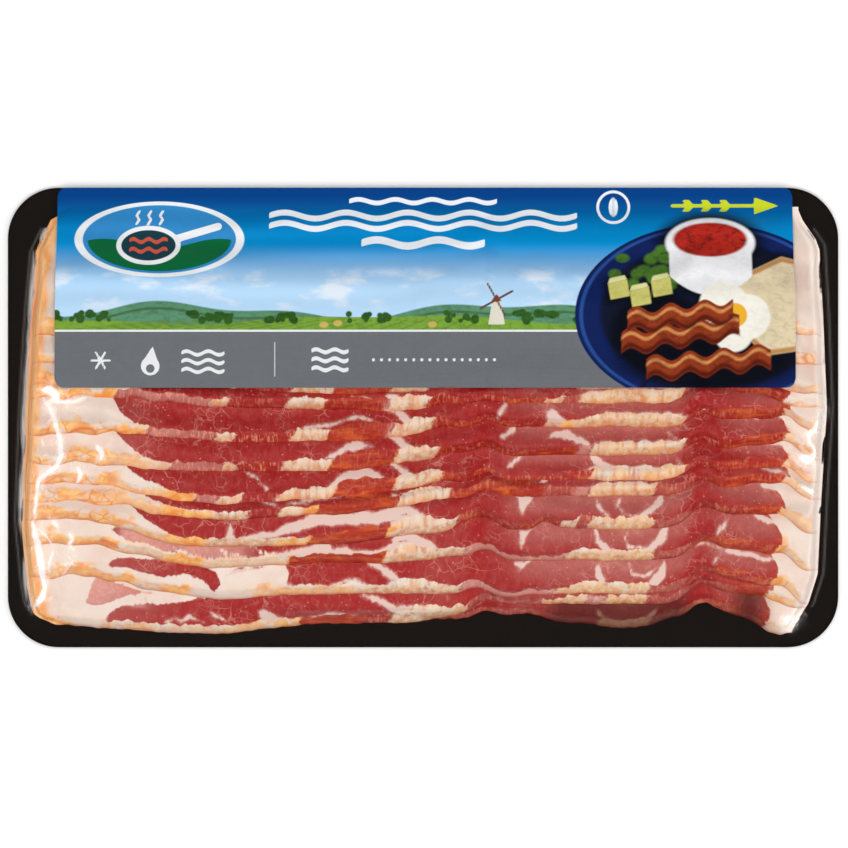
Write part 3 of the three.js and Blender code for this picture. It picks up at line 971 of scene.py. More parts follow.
# %% Veins and flecks in lean
def marbling(r, metre):
    """A thin crooked web of fat, patchy, and small round flecks."""
    warp = r.add("ShaderNodeTexNoise")
    r.feed(warp.inputs["Vector"], metre)
    warp.inputs["Scale"].default_value = 170
    shift = r.add("ShaderNodeVectorMath", operation="SCALE")
    r.feed(shift.inputs[0], warp.outputs["Color"])
    shift.inputs["Scale"].default_value = 0.007
    bent = r.add("ShaderNodeVectorMath", operation="ADD")
    r.feed(bent.inputs[0], metre)
    r.feed(bent.inputs[1], shift.outputs[0])
    wide = r.rise(r.cells(bent.outputs[0], 150), 0.034, 0.004)
    wide = r.times(wide, r.rise(r.noise(metre, 80, 2), 0.46, 0.62))
    fine = r.rise(r.cells(bent.outputs[0], 330), 0.07, 0.0)
    fine = r.times(fine, r.rise(r.noise(metre, 120, 2), 0.5, 0.66))
    flecks = r.rise(r.cells(metre, 560, "F1"), 0.2, 0.08)
    flecks = r.times(flecks, r.rise(r.noise(metre, 170, 2), 0.42, 0.58))
    webs = r.larger(r.times(wide, 0.4), r.times(fine, 0.3))
    return r.larger(webs, r.times(flecks, 0.6))


# %% [markdown]
# ## Where fat ends and lean begins
#
# On a cut slice the border between fat and lean is crooked at every scale. The noted fields are
# smooth, so three noises are added to them before they are cut off softly: lumps of a few
# millimetres, fine teeth, and ribs that run up the edge where the knife crossed the grain.
# Noises that several colours share are made once and kept on the recipe.

# %% The shared noises and the borders
def bacon_noises(r):
    """The noises that several parts of the recipe share, kept on the recipe."""
    r.metre = r.place()
    r.teeth = r.minus(r.noise(r.place(scale=(1, 0.4, 1)), 1000, 3, 0.6), 0.5)
    r.lumps = r.minus(r.noise(r.metre, 230, 3, 0.55), 0.5)
    r.broad = r.noise(r.metre, 60, 3, 0.55)
    r.fibre = r.noise(r.place(scale=(1, 0.25, 0.25)), 1300, 2, 0.6)
    r.ribs = r.noise(r.place(scale=(1, 0.16, 1)), 560, 3, 0.6)
    r.mottle = r.rise(r.noise(r.metre, 340, 3, 0.65), 0.4, 0.8)


def roughened(r, name, teeth, lumps):
    """A noted field with its border made crooked."""
    return r.plus(r.noted(name), r.plus(r.times(r.teeth, teeth), r.times(r.lumps, lumps)))


def bacon_borders(r):
    """Edge or face, and the share of fat in both."""
    ragged = r.times(r.minus(r.ribs, 0.54), r.plus(1.1, r.times(r.noted("cream"), 1.3)))
    from_band = r.plus(r.noted("from_band"), r.plus(r.times(r.lumps, 1.8), ragged))
    r.on_edge = r.rise(from_band, 0.2, -0.2)
    r.on_face = r.minus(1.0, r.on_edge)
    r.streak = r.rise(roughened(r, "face_streak", 1.3, 2.6), -0.75, 0.6)
    r.end_fat = r.rise(roughened(r, "face_fat", 1.7, 1.6), -0.3, 0.3)
    edge = r.rise(roughened(r, "edge_fat", 2.6, 2.2), -0.5, 0.5)
    r.fat = r.plus(r.times(r.larger(r.end_fat, r.streak), r.on_face), r.times(edge, r.on_edge))


# %% [markdown]
# ## The colours of lean
#
# Cured lean is a deep wet red. It turns pink and then nearly white where little muscle colour is
# left, and smoke dries it to rust. Fat shows in it as a web of veins and as the pale grain of
# the cut edge. The colours are mixed in that order, each over the last.

# %% Lean, smoked and marbled
def lean_colour(r):
    pale = r.plus(r.times(r.noted("face_pale"), r.on_face),
                  r.times(r.noted("edge_pale"), r.on_edge))
    pale = r.plus(pale, r.times(r.minus(r.broad, 0.5), 0.9))
    lean = r.mix(r.rise(pale, 0.0, 1.1), paint(160, 24, 25), paint(174, 88, 82))
    lean = r.mix(r.rise(pale, 0.9, 1.8), lean, paint(222, 158, 146))
    lean = r.mix(r.times(r.mottle, 0.24), lean, paint(190, 98, 88))
    speck = r.rise(r.noise(r.metre, 900, 2, 0.6), 0.35, 0.7)
    lean = r.mix(r.times(speck, 0.3), lean, paint(206, 188, 184), "MULTIPLY")
    grain = r.times(r.noted("grain"), r.on_edge)
    streaks = r.times(r.rise(r.fibre, 0.48, 0.66), r.plus(0.05, r.times(grain, 0.75)))
    lean = r.mix(streaks, lean, paint(232, 156, 128))
    foot = r.rise(r.noted("up"), 2.6, 0.2, 0.8, 1.15)
    smoke = r.plus(r.times(r.noted("face_smoke"), r.on_face),
                   r.times(r.noted("edge_smoke"), r.times(r.on_edge, foot)))
    flow = r.noise(r.place(scale=(0.3, 1, 1)), 420, 3, 0.6, 0.8)
    rust = r.mix(r.rise(flow, 0.4, 0.75), paint(168, 38, 18), paint(216, 98, 34))
    lean = r.mix(r.times(smoke, r.rise(r.broad, 0.25, 0.7, 0.4, 0.95)), lean, rust)
    marbled = r.times(marbling(r, r.metre), r.minus(1.0, r.times(r.on_edge, 0.7)))
    return r.mix(marbled, lean, paint(222, 158, 142))


# %% [markdown]
# ## The colours of fat
#
# Fat on a face is white with a warm blush. Where the cut edge shows it, it is cream with ribs,
# and smoke has run over it in amber blotches with fine cracks. A streak of fat within lean is
# thin, so it lets some of the red through and is pinker than the rest.

# %% Fat, creamy and smoked
def fat_colour(r):
    white = r.mix(r.rise(r.broad, 0.3, 0.7), paint(231, 213, 200), paint(226, 198, 183))
    white = r.mix(r.times(r.mottle, 0.4), white, paint(240, 223, 209))
    # The cut edge's cream is painted whiter towards the top of the band, as a highlight along its
    # upper rim, and more orange towards its foot.
    butter = r.mix(r.rise(r.noted("up"), 2.6, 0.6), paint(220, 203, 188), paint(212, 167, 132))
    butter = r.mix(r.rise(r.ribs, 0.5, 0.66, 0.0, 0.75), butter, paint(196, 112, 84))
    butter = r.mix(r.rise(r.ribs, 0.52, 0.36, 0.0, 0.8), butter, paint(230, 216, 202))
    butter = r.mix(r.rise(r.noise(r.metre, 240, 3, 0.6), 0.52, 0.68, 0.0, 0.5), butter,
                   paint(228, 158, 96))
    colour = r.mix(r.times(r.noted("cream"), r.on_edge), white, butter)

    blotch = r.plus(r.noise(r.metre, 150, 3, 0.6, 0.7), r.times(r.lumps, 0.3))
    blotch = r.rise(blotch, 0.3, 0.46)
    amber = r.mix(r.rise(r.lumps, -0.15, 0.2), paint(250, 194, 116), paint(236, 148, 68))
    reach = r.times(r.minus(r.noise(r.place(scale=(0.7, 1, 1)), 110, 3, 0.65), 0.45), 15)
    smeared = r.rise(r.minus(r.noted("from_band"), reach), 0.9, -0.9)
    colour = r.mix(r.times(r.noted("edge_smoke"), r.times(blotch, smeared)), colour, amber)
    cracks = r.rise(r.cells(r.place(scale=(0.8, 1, 1)), 240), 0.08, 0.0)
    cracks = r.times(r.times(cracks, r.minus(1.0, r.noted("cream"))),
                     r.times(smeared, r.rise(r.broad, 0.42, 0.58)))
    colour = r.mix(r.times(cracks, 0.6), colour, paint(206, 104, 62))

    pinkish = r.mix(r.rise(r.streak, 0.5, 1.0), paint(198, 134, 123), paint(222, 190, 179))
    return r.mix(r.times(r.on_face, r.minus(1.0, r.end_fat)), colour, pinkish)


# %% [markdown]
# ## The ends, and the whole material
#
# The two steep ends of the stack are all fat: peach and smoked at the left, nearly white at the
# right. They go over the rest, with the marks, the shade at the foot of each slice and the dim
# part of the lowest one, which lies against the dark board. A low bump at the scale of the
# fibres breaks up the shine of the wet surface.

# %% The bacon material
def end_colours(r, colour):
    """Marks, dim parts, the two ends and a painted shade at each slice's foot, over a colour."""
    drawn = r.rise(r.plus(r.noted("mark"), r.times(r.lumps, 0.8)), -0.3, 0.3)
    colour = r.mix(r.times(drawn, 0.75), colour, paint(220, 116, 62))
    colour = r.mix(r.noted("dim"), colour, paint(150, 120, 106), "MULTIPLY")
    upright = r.noise(r.place(scale=(1, 0.1, 1)), 480, 3)
    peach = r.mix(r.rise(upright, 0.3, 0.7), paint(250, 195, 128), paint(235, 152, 80))
    colour = r.mix(r.times(r.noted("wall"), 0.95), colour, peach)
    blushed = r.mix(r.rise(upright, 0.35, 0.7), paint(252, 238, 228), paint(246, 224, 211))
    colour = r.mix(r.times(r.noted("right_wall"), 0.9), colour, blushed)
    # Painted shade: each slice is darkened near its own lower edge, where it meets the face
    # below.
    foot = r.times(r.rise(r.noted("up"), 1.0, 0.0), 0.35)
    return r.mix(foot, colour, paint(206, 110, 84), "MULTIPLY")


def bacon_material():
    r = Recipe("cured_bacon")
    bacon_noises(r)
    bacon_borders(r)
    colour = end_colours(r, r.mix(r.fat, lean_colour(r), fat_colour(r)))
    height = r.plus(r.times(r.fibre, 0.3), r.plus(r.times(r.fat, 0.5), r.times(r.lumps, 1.2)))
    shader = r.surface(Base_Color=colour, Roughness=r.rise(r.broad, 0.2, 0.8, 0.42, 0.58),
                       Normal=r.bump(height, 0.0003, 0.6))
    return r.finish(shader)


bacon = bacon_material()
for piece in slices:
    piece.data.materials.append(bacon)
    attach(piece, "root")
print("bacon material on", len(slices), "slices")

# %% [markdown]
# ## The film
#
# The film is one clear sheet over the whole board, drawn down on the slices and sealed to the
# board round them. Near the left and right ends it is creased, and those creases are what
# shines: their shine is a painted highlight, white in the film's material, with a little real
# gloss. The large folds are drawn as tapering strokes at their places, each with its width.
# Between them lie many short glints, painted highlights too, for which random strokes with a
# fixed seed are enough.

# %% The film's folds and glints
FOLD_HEIGHT = 0.25
GLINTS = 46
FOLDS = [
    ([(-123, 8.6), (-120.5, 9), (-118.4, 7.2), (-117.6, 4.6)], 2.6),
    ([(-121.5, 5.2), (-118.5, 5.2), (-115, 5), (-112.8, 5.1), (-108.6, 6.6)], 1.2),
    ([(-122.6, 6.4), (-120, 2.2), (-118.5, -1.4), (-117.6, -6)], 1.3),
    ([(-118.2, -2.4), (-117, -7.3), (-116.8, -12.2), (-118, -15.8), (-120.7, -18)], 1.5),
    ([(-117.6, -14.5), (-120.7, -17.6), (-124, -20), (-124.9, -25)], 1.2),
    ([(-124.2, -20), (-124.8, -26), (-125.6, -33.6)], 0.9),
    ([(-126.2, -33.3), (-124.6, -41.5), (-123.6, -48), (-122.8, -56)], 2.3),
    ([(-122.3, -54.1), (-123.5, -58.4), (-126.4, -61.5)], 1.9),
    ([(-125.5, -35), (-122, -38), (-120.2, -41)], 0.7),
    ([(-105.2, -9), (-103.6, -11.4), (-103.9, -14)], 1.5),
    ([(-111.5, -16), (-110.4, -18.4), (-111.8, -21.2)], 1.3),
    ([(-114.3, -37), (-113.3, -39.5), (-114.6, -40.8), (-113, -43)], 0.9),
    ([(-119.9, -33), (-117.8, -35.4)], 1.1),
    ([(-119.6, -43), (-121.6, -49)], 0.6),
    ([(-113, -46), (-117, -51.5)], 0.4),
    ([(130, 3), (128.5, -0.8), (126.5, -4), (123.9, -5.6)], 1.8),
    ([(124.2, -5), (124.8, -8), (126.8, -10.8), (125.2, -14)], 1.0),
    ([(127.2, -11.4), (124.6, -13.6), (121.2, -12.4)], 2.6),
    ([(122.2, -22), (126.6, -24.8)], 1.3),
    ([(117.2, -64.8), (119.6, -66.2), (122.2, -65.2)], 2.6),
]


def facets():
    """Small straight painted glints of random length and turn along the creased left end."""
    draw = np.random.default_rng(31)
    spots = []
    for _ in range(GLINTS):
        y = draw.uniform(-62, 9)
        x = np.interp(y, [-62, -34, -18, 9], [-123, -122.5, -120, -119]) + draw.normal(0, 2.2)
        turn, length = draw.uniform(0.5, 2.6), draw.uniform(0.8, 3.6)
        way = (length * np.cos(turn), length * np.sin(turn))
        points = [(x, y), (x + way[0] / 2, y + way[1] / 2), (x + way[0], y + way[1])]
        spots.append((points, draw.uniform(0.25, 0.8)))
    return spots


def folds_at(x, y):
    """Above zero on the film's sharp folds, in millimetres."""
    bent = x + 0.2 * wave(y, 5, 7)
    return np.maximum.reduce([tapered(bent, y, points, width) for points, width in FOLDS])


def glints_at(x, y):
    """Above zero on the short painted glints."""
    return np.maximum.reduce([tapered(x, y, points, width) for points, width in facets()])


print(len(FOLDS), "folds and", GLINTS, "glints")

# %% [markdown]
# ## The film's drape
#
# The film starts as a blank of the board's size. Its corners are rounded, and each point drops
# to what lies under it. It bridges the small hollows, so the height is smoothed a little first,
# and it stands up along the folds. Its columns are closer together near the two ends, where the
# folds are.

# %% Draping the film
FILM_THICKNESS = 0.12
FILM_LIFT = 0.45
BOARD_CORNER = 16.5
FILM_INSET = 0.6
FILM_COLUMNS = 258
FILM_ROWS = 184
END_WIDTH = 0.14
END_COLUMNS = 0.27


def end_crowded(share):
    """Spreads columns so that more of them fall near the two ends."""
    return np.interp(share, [0, END_COLUMNS, 1 - END_COLUMNS, 1],
                     [0, END_WIDTH, 1 - END_WIDTH, 1])


def rounded_half_length(y):
    """Half the film's length at y, with its corners rounded."""
    half_width = BOARD_WIDTH / 2 - FILM_INSET
    radius = BOARD_CORNER - FILM_INSET
    into = np.clip(np.abs(y) - (half_width - radius), 0, radius)
    return BOARD_LENGTH / 2 - FILM_INSET - radius + np.sqrt(radius ** 2 - into ** 2)


def film_height(x, y):
    """The film's height over the board: smoothed slices, and the folds."""
    offsets = (-1.2, 0, 1.2)
    total = sum(stack_top(x + dx, y + dy) for dx in offsets for dy in offsets)
    height = np.maximum(total / len(offsets) ** 2, stack_top(x, y))
    return height + FOLD_HEIGHT * step(-1.5, 1, folds_at(x, y))


film = cut_blank("film", BOARD_LENGTH, BOARD_WIDTH, FILM_COLUMNS, FILM_ROWS, FILM_THICKNESS)
along, up, on_top = blank_shares(film, BOARD_LENGTH, BOARD_WIDTH)
film_y = (up - 0.5) * (BOARD_WIDTH - 2 * FILM_INSET)
film_x = (2 * end_crowded(along) - 1) * rounded_half_length(film_y)
drape = film_height(film_x, film_y)
lay(film, film_x, film_y, FILM_FLAT + FILM_LIFT * step(0, 1, drape) + drape
    + np.where(on_top, FILM_THICKNESS, 0))
print("film of", len(film.data.polygons), "faces")

# %% [markdown]
# ## Where the film shows
#
# Drawn tight, the film can hardly be seen over the slices. Along its sharp folds and glints it
# is painted white as a highlight, with a faint painted sheen round the creases. It shows as a
# hazy strip where it stands off beside the stack, and as a faint line round the stack where the
# seal begins. Each is noted on the film's points for the material.

# %% Folds, haze and the seal line
BESIDE_STACK = 62
outside = np.maximum(side_at(LEFT_SIDE, film_y) - film_x, film_x - side_at(RIGHT_SIDE, film_y))
beside = np.abs(film_y) < BESIDE_STACK
strip = hill(outside, 0.8) * (film_x < 0)
note(film, "fold_highlight", folds_at(film_x, film_y))
note(film, "glint", glints_at(film_x, film_y))
# The zone round the creases where a faint painted sheen goes.
note(film, "creased", hill(np.minimum(folds_at(film_x, film_y), 0), 1.7))
note(film, "haze", strip * beside)
note(film, "seal", hill(outside - 1.9, 0.35) * beside)
print("noted on the film:", len(film.data.attributes), "layers")

# %% [markdown]
# ## Clear film
#
# Glass would bend the light and darken what lies under it, which film this thin doesn't do. So
# the film is a transparent surface with a trace of gloss. Where it is folded or creased it turns
# white, a painted highlight over the slight whitening that creased film has, and where it is
# hazy it turns milky. It casts no shadow. The film and the slices together stand in for the
# imported solid of the sealed bag.

# %% The film material
def film_material():
    r = Recipe("clear_film")
    gloss = r.add("ShaderNodeBsdfGlossy")
    gloss.inputs["Roughness"].default_value = 0.12
    wrinkle = r.noise(r.place(scale=(1, 0.6, 1)), 260, 2, 0.5)
    r.links.new(r.bump(wrinkle, 0.0004, 0.5), gloss.inputs["Normal"])
    coated = r.add("ShaderNodeMixShader")
    coated.inputs[0].default_value = 0.012
    r.links.new(r.add("ShaderNodeBsdfTransparent").outputs[0], coated.inputs[1])
    r.links.new(gloss.outputs[0], coated.inputs[2])
    streaks = r.rise(r.noise(r.place(scale=(1, 0.12, 1)), 500, 3), 0.35, 0.65)
    # The white along the folds and glints, and the sheen round the creases, are painted
    # highlights.
    highlight_breakup = r.times(r.minus(r.noise(r.place(), 300, 3, 0.6), 0.5), 0.9)
    fold_highlight = r.rise(r.plus(r.noted("fold_highlight"), highlight_breakup), -0.45, 0.5)
    fold_highlight = r.larger(fold_highlight, r.rise(r.plus(r.noted("glint"), highlight_breakup), -0.1, 0.5, 0.0, 0.6))
    sheen = r.rise(r.noise(r.place(scale=(1, 0.45, 1)), 260, 4, 0.65, 1.6), 0.5, 0.68)
    fold_highlight = r.larger(fold_highlight, r.times(r.noted("creased"), r.plus(0.04, r.times(sheen, 0.4))))
    highlight_and_haze_share = r.larger(r.times(fold_highlight, 0.88), r.times(r.times(r.noted("haze"), streaks), 0.55),
                    r.times(r.noted("seal"), 0.035))
    # The white of the painted highlights, turning grey where the film is hazy.
    highlight_and_haze_white = r.surface(Base_Color=r.mix(r.noted("haze"), paint(246, 243, 240),
                                       paint(206, 202, 198)),
                      Roughness=0.25)
    clear_and_whitened_film = r.add("ShaderNodeMixShader")
    r.links.new(highlight_and_haze_share, clear_and_whitened_film.inputs[0])
    r.links.new(coated.outputs[0], clear_and_whitened_film.inputs[1])
    r.links.new(highlight_and_haze_white, clear_and_whitened_film.inputs[2])
    return r.finish(clear_and_whitened_film.outputs[0])


film.data.materials.append(film_material())
film.visible_shadow = False
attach(film, "root")
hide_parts("sealed_bacon")
for piece in slices:
    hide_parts("sealed_bacon")

# %% [markdown]
# ## The board
#
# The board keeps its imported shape. Its black coating is a little warm and has a faint grain.

# %% The board material
def board_material():
    r = Recipe("coated_board")
    grain = r.noise(r.place(), 700, 3, 0.6)
    colour = r.mix(grain, paint(14, 9, 7), paint(20, 14, 11))
    shader = r.surface(Base_Color=colour, Roughness=r.rise(grain, 0.3, 0.7, 0.5, 0.65),
                       Specular_IOR_Level=0.1,
                       Normal=r.bump(grain, 0.0001, 0.4))
    return r.finish(shader)


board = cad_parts["backing_board"]
board.data.materials.clear()
board.data.materials.append(board_material())

# %% [markdown]
# ## The label
#
# The label is a printed sheet, laid over the film from the board's edge down. It bridges the
# slices' edges, so its height is the highest film nearby, made smooth. It spans more where it
# lies on the slices than near the board's edge, where it comes down to the flat film.

# %% Laying the label
LABEL_LEFT = -118.8
LABEL_RIGHT = 120
LABEL_BOTTOM = 9.6
LABEL_TOP = BOARD_WIDTH / 2
LABEL_THICKNESS = 0.25
LABEL_CORNER = 3
LABEL_COLUMNS = 400
LABEL_ROWS = 120
LABEL_GAP = 0.55
WIDE_SPAN = 3.2
CLOSE_SPAN = 0.8


def label_height(x, y):
    """The height of the stack under the label, with its hollows bridged."""
    reach = WIDE_SPAN + (CLOSE_SPAN - WIDE_SPAN) * step(34, 52, y)
    offsets = (-1, -0.5, 0, 0.5, 1)
    total = 0
    for i in offsets:
        highest = [stack_top(x + j * reach, y + (i + m) * reach)
                   for j in (-1, 0, 1) for m in offsets]
        total = total + np.maximum.reduce(highest)
    return total / len(offsets)


def corner_inset(way):
    """How far a round corner draws the label's long edges in."""
    short = np.clip(LABEL_CORNER - way, 0, LABEL_CORNER)
    return LABEL_CORNER - np.sqrt(LABEL_CORNER ** 2 - short ** 2)


label_length = LABEL_RIGHT - LABEL_LEFT
label_width = LABEL_TOP - LABEL_BOTTOM
label = cut_blank("printed_label", label_length, label_width, LABEL_COLUMNS, LABEL_ROWS,
                  LABEL_THICKNESS)
along, up, on_top = blank_shares(label, label_length, label_width)
label_x = LABEL_LEFT + along * label_length
inset = corner_inset(np.minimum(along, 1 - along) * label_length)
label_y = LABEL_BOTTOM + inset + up * (label_width - 2 * inset)
label_z = FILM_FLAT + FILM_LIFT + LABEL_GAP + label_height(label_x, label_y)
lay(label, label_x, label_y, label_z + np.where(on_top, LABEL_THICKNESS, 0))
print("label of", len(label.data.polygons), "faces")

# %% [markdown]
# ## The label's print
#
# The print is a plain design in flat colours: a blue sky over green fields, a grey band below,
# an oval plaque with a pan, white waves, a ring, an arrow and a plate of food. Each colour is
# one field in millimetres, above zero where the ink is, noted on the label's points. Flat ink
# on a fine mesh keeps clean borders, and it goes with the sheet over all its waves.

# %% Shapes of ink
def disc(middle, radius):
    """A round dot."""
    return radius - np.hypot(label_x - middle[0], label_y - middle[1])


def oval(middle, radii):
    """An oval with a half length and a half height."""
    share = np.hypot((label_x - middle[0]) / radii[0], (label_y - middle[1]) / radii[1])
    return (1 - share) * min(radii)


def ink_line(points, width):
    """A line of ink."""
    return line(label_x, label_y, points, width)


def ink_patch(corners):
    """A patch of ink with corners."""
    return patch(label_x, label_y, corners)


def wavy(start, end, height, pitch, width, turn=0.0):
    """A wavy band from start to end, turned a little from level."""
    (x0, y0), (x1, _) = start, end
    middle = y0 + turn * (label_x - x0) + height * np.sin(2 * np.pi * (label_x - x0) / pitch)
    return np.minimum(width / 2 - np.abs(label_y - middle), between(label_x, x0, x1))


def joined(*fields):
    """All of the shapes as one."""
    return np.maximum.reduce(fields)


def cut(field, *others):
    """A field without what lies inside the others."""
    return np.minimum.reduce([field] + [-other for other in others])


# %% [markdown]
# ## The landscape and the bands
#
# Low on the sky lie two rows of hills, drawn as slow waves, with bushes, a windmill and a few
# bales on them. A white line and the grey band end the picture. The inks are listed from the
# lowest to the highest: a name, a field, a colour, and how soft its border is in millimetres.

# %% The landscape and the bands
far_line = 34.5 + 2.2 * np.sin(label_x / 17) + 1.1 * np.sin(label_x / 7.3 + 1)
near_line = 31.6 + 1.3 * np.sin(label_x / 23 + 2) + 0.5 * np.sin(label_x / 9)
tree_draw = np.random.default_rng(12)
trees = []
for middle in (-116, -110, -104, -74, -69, -64, -48, -44, -21, -16, -11, 9, 14, 31, 36, 41, 52):
    for _ in range(5):
        radius = tree_draw.uniform(0.7, 1.5)
        at = (middle + tree_draw.uniform(-3, 3), 31.6 + tree_draw.uniform(-0.4, 2.2))
        trees.append(disc(at, radius))
bales = joined(*[oval((x, y), (1.5, 1.0)) for x, y in ((-32, 29.9), (-27.5, 30.4), (3, 30))])
mill = ink_patch([(21, 30), (22.3, 37.6), (25.1, 37.6), (26.4, 30)])
mill_cap = ink_patch([(21.9, 37.4), (23.7, 40), (25.5, 37.4)])
sails = joined(*[ink_line([(23.7, 38), (23.7 + 6 * np.cos(a), 38 + 6 * np.sin(a))], 0.7)
                 for a in (0.5, 2.07, 3.64, 5.21)])
hedge = np.minimum(0.4 - np.abs(label_y - far_line + 2.4), label_y - near_line)
furrows = [ink_line([(x, 28.5), (x * 0.8 + 6, 31.4)], 0.35) for x in range(-112, 60, 7)]
LAND_BOTTOM = 28.3
BAND_TOP = 27.65
INKS = [
    ("far_field", far_line - label_y, (92, 146, 112), 0.3),
    ("near_field", near_line - label_y, (122, 164, 58), 0.25),
    ("hedge", hedge, (70, 108, 66), 0.3),
    ("furrow", joined(*furrows), (96, 132, 52), 0.3),
    ("bales", bales, (204, 178, 96), 0.2),
    ("tree", joined(*trees), (50, 94, 34), 0.25),
    ("mill", mill, (228, 222, 206), 0.15),
    ("mill_cap", mill_cap, (150, 56, 42), 0.15),
    ("sails", sails, (104, 74, 54), 0.15),
    ("white_line", LAND_BOTTOM - label_y, (238, 241, 241), 0.08),
    ("grey_band", BAND_TOP - label_y, (109, 113, 118), 0.08),
]

# %% [markdown]
# ## The plaque and the signs in the sky
#
# A white oval plaque holds a sky, a meadow and a pan with two rashers. Right of it white waves
# stand in rows, then a ring with a seed in it, and a feathered arrow. They are drawn large and
# few, as a print is that is read from a few steps away.

# %% The plaque, the waves, the ring and the arrow
PLAQUE = (-85.5, 57.8)
RING = (61.8, 68.3)
PAN = (-89, 55.8)
plaque = oval(PLAQUE, (27.5, 12.4))
meadow = np.minimum(plaque - 1.9, 56.4 + 1.6 * np.sin(label_x / 6) - label_y)
pan = joined(oval(PAN, (10.4, 6.4)), ink_line([(-80, 58), (-66.5, 62)], 2.4))
pan_hollow = oval(PAN, (8.8, 5))
pan_rashers = joined(wavy((-95.2, 57.4), (-82.8, 57.4), 0.55, 5, 1.3),
                     wavy((-95.2, 54.2), (-82.8, 54.2), 0.55, 5, 1.3))
steam = joined(*[ink_line([(x, 62.8), (x + 0.9, 64.2), (x, 65.6), (x + 0.9, 67)], 0.8)
                 for x in (-93, -89.2, -85.4)])
waves = joined(wavy((-24, 70.3), (24, 70.3), 0.6, 12, 1.5),
               wavy((-50, 65.6), (50, 65.6), 1.0, 20, 1.9),
               wavy((-50, 62.2), (50, 62.2), 1.0, 20, 1.9),
               wavy((-20, 56.6), (20, 56.6), 1.0, 20, 2.4))
ring = cut(disc(RING, 5.5), disc(RING, 4.6))
seed_mark = cut(oval(RING, (1.5, 3.2)), ink_line([(61.8, 65), (61.8, 71)], 0.5))
arrow = joined(ink_line([(81, 68.8), (108, 68.8)], 1.1),
               ink_patch([(107.5, 71.6), (115.5, 68.8), (107.5, 66)]),
               *[ink_patch([(x, 70.7), (x + 2.4, 70.7), (x + 4.2, 68.8), (x + 2.4, 66.9),
                            (x, 66.9), (x + 1.8, 68.8)]) for x in (84, 90, 96)])
INKS += [
    ("plaque", plaque, (244, 247, 249), 0.1),
    ("plaque_sky", plaque - 1.2, (52, 142, 206), 0.1),
    ("meadow", meadow, (12, 104, 58), 0.15),
    ("pan", joined(pan, steam), (246, 248, 250), 0.1),
    ("pan_hollow", pan_hollow, (24, 62, 74), 0.1),
    ("pan_rashers", pan_rashers, (214, 92, 70), 0.1),
    ("waves", joined(waves, ring, seed_mark), (240, 245, 250), 0.12),
    ("arrow", arrow, (206, 220, 40), 0.12),
]

# %% [markdown]
# ## The plate of food
#
# A dark plate runs off the right end of the label, with a bowl of relish, rashers, an egg,
# toast, leaves and cubes. Painted food looks flat in one ink, so the rashers have a light and a
# dark edge, all of it has a soft shadow on the plate, and some inks are blotted coarsely.

# %% The plate of food
PLATE = (93, 33)
plate = np.minimum(oval(PLATE, (44, 30)), label_x - 49)
well = oval((PLATE[0] + 1, PLATE[1] + 0.5), (37, 23.5))
bowl = joined(oval((93, 56.5), (14.5, 8.2)), np.minimum(between(label_x, 79.5, 106.5) - 0.2,
              between(label_y, 43.5, 56) - 0.035 * (label_x - 93) ** 2 + 4))
relish = oval((93, 57.6), (12, 5.6))
toast = ink_patch([(99, 44), (116, 52), (124, 50), (124, 22), (110, 20), (101, 30)])
egg = joined(disc((97, 36), 8), disc((104.5, 32.5), 7.4), disc((100, 27.5), 6.4))
yolk = disc((100.6, 33), 3.9)
rasher_bands = [((66, 31), (100, 31), 0.1), ((64, 24), (102, 24), 0.14),
                ((72, 15.5), (112, 15.5), 0.1)]
rashers = joined(*[wavy(a, b, 1.3, 11, 6.6, turn) for a, b, turn in rasher_bands])
rasher_fat = joined(*[wavy((a[0], a[1] + 1.5), b, 1.3, 11, 1.1, turn)
                      for a, b, turn in rasher_bands])
rasher_dark = joined(*[wavy((a[0], a[1] - 2.4), b, 1.3, 11, 1.6, turn)
                       for a, b, turn in rasher_bands])
leaf_draw = np.random.default_rng(8)
leaves = joined(*[oval((74 + leaf_draw.normal(0, 5.2), 47 + leaf_draw.normal(0, 3)),
                       (leaf_draw.uniform(1.4, 2.8), leaf_draw.uniform(1.2, 2.2)))
                  for _ in range(26)])
CUBES = ((60.5, 38), (67.5, 35.6), (74.4, 38.8))
cubes = joined(*[ink_patch([(x, y), (x + 6.2, y + 1.2), (x + 5.4, y + 6.6), (x - 0.8, y + 5.2)])
                 for x, y in CUBES])
cube_tops = joined(*[ink_patch([(x - 0.8, y + 5.2), (x + 5.4, y + 6.6), (x + 4.6, y + 8),
                                (x - 0.2, y + 7)]) for x, y in CUBES])
food = joined(bowl, toast, egg, rashers, cubes)
food_shadow = 1.6 + joined(*[oval((76, 27), (14, 12)), oval((92, 19), (24, 9)), food])
INKS += [
    ("plate", plate, (14, 32, 88), 0.15),
    ("plate_ring", np.minimum(plate - 1.0, 1.7 - plate), (44, 84, 160), 0.4),
    ("plate_well", well, (15, 22, 44), 0.8),
    ("food_shadow", food_shadow, (9, 12, 22), 2.2),
    ("leaves", leaves, (74, 118, 40), 0.5),
    ("toast", toast, (226, 208, 172), 0.5),
    ("toast_crust", np.minimum(toast, 1.5 - toast), (190, 140, 84), 0.5),
    ("bowl", bowl, (238, 238, 240), 0.4),
    ("relish", relish, (178, 40, 30), 0.4),
    ("cubes", cubes, (206, 200, 112), 0.3),
    ("cube_tops", cube_tops, (228, 226, 160), 0.3),
    ("egg", egg, (244, 240, 228), 0.5),
    ("yolk", yolk, (240, 180, 48), 0.3),
    ("rashers", rashers, (146, 56, 26), 0.3),
    ("rasher_fat", rasher_fat, (214, 144, 84), 0.5),
    ("rasher_dark", rasher_dark, (88, 26, 14), 0.7),
]
COARSE = {"relish": 0.8, "rashers": 0.55, "rasher_fat": 0.5, "toast": 0.25, "leaves": 0.5,
          "cubes": 0.25, "egg": 0.12, "bowl": 0.12, "far_field": 0.4, "near_field": 0.4,
          "tree": 0.5}

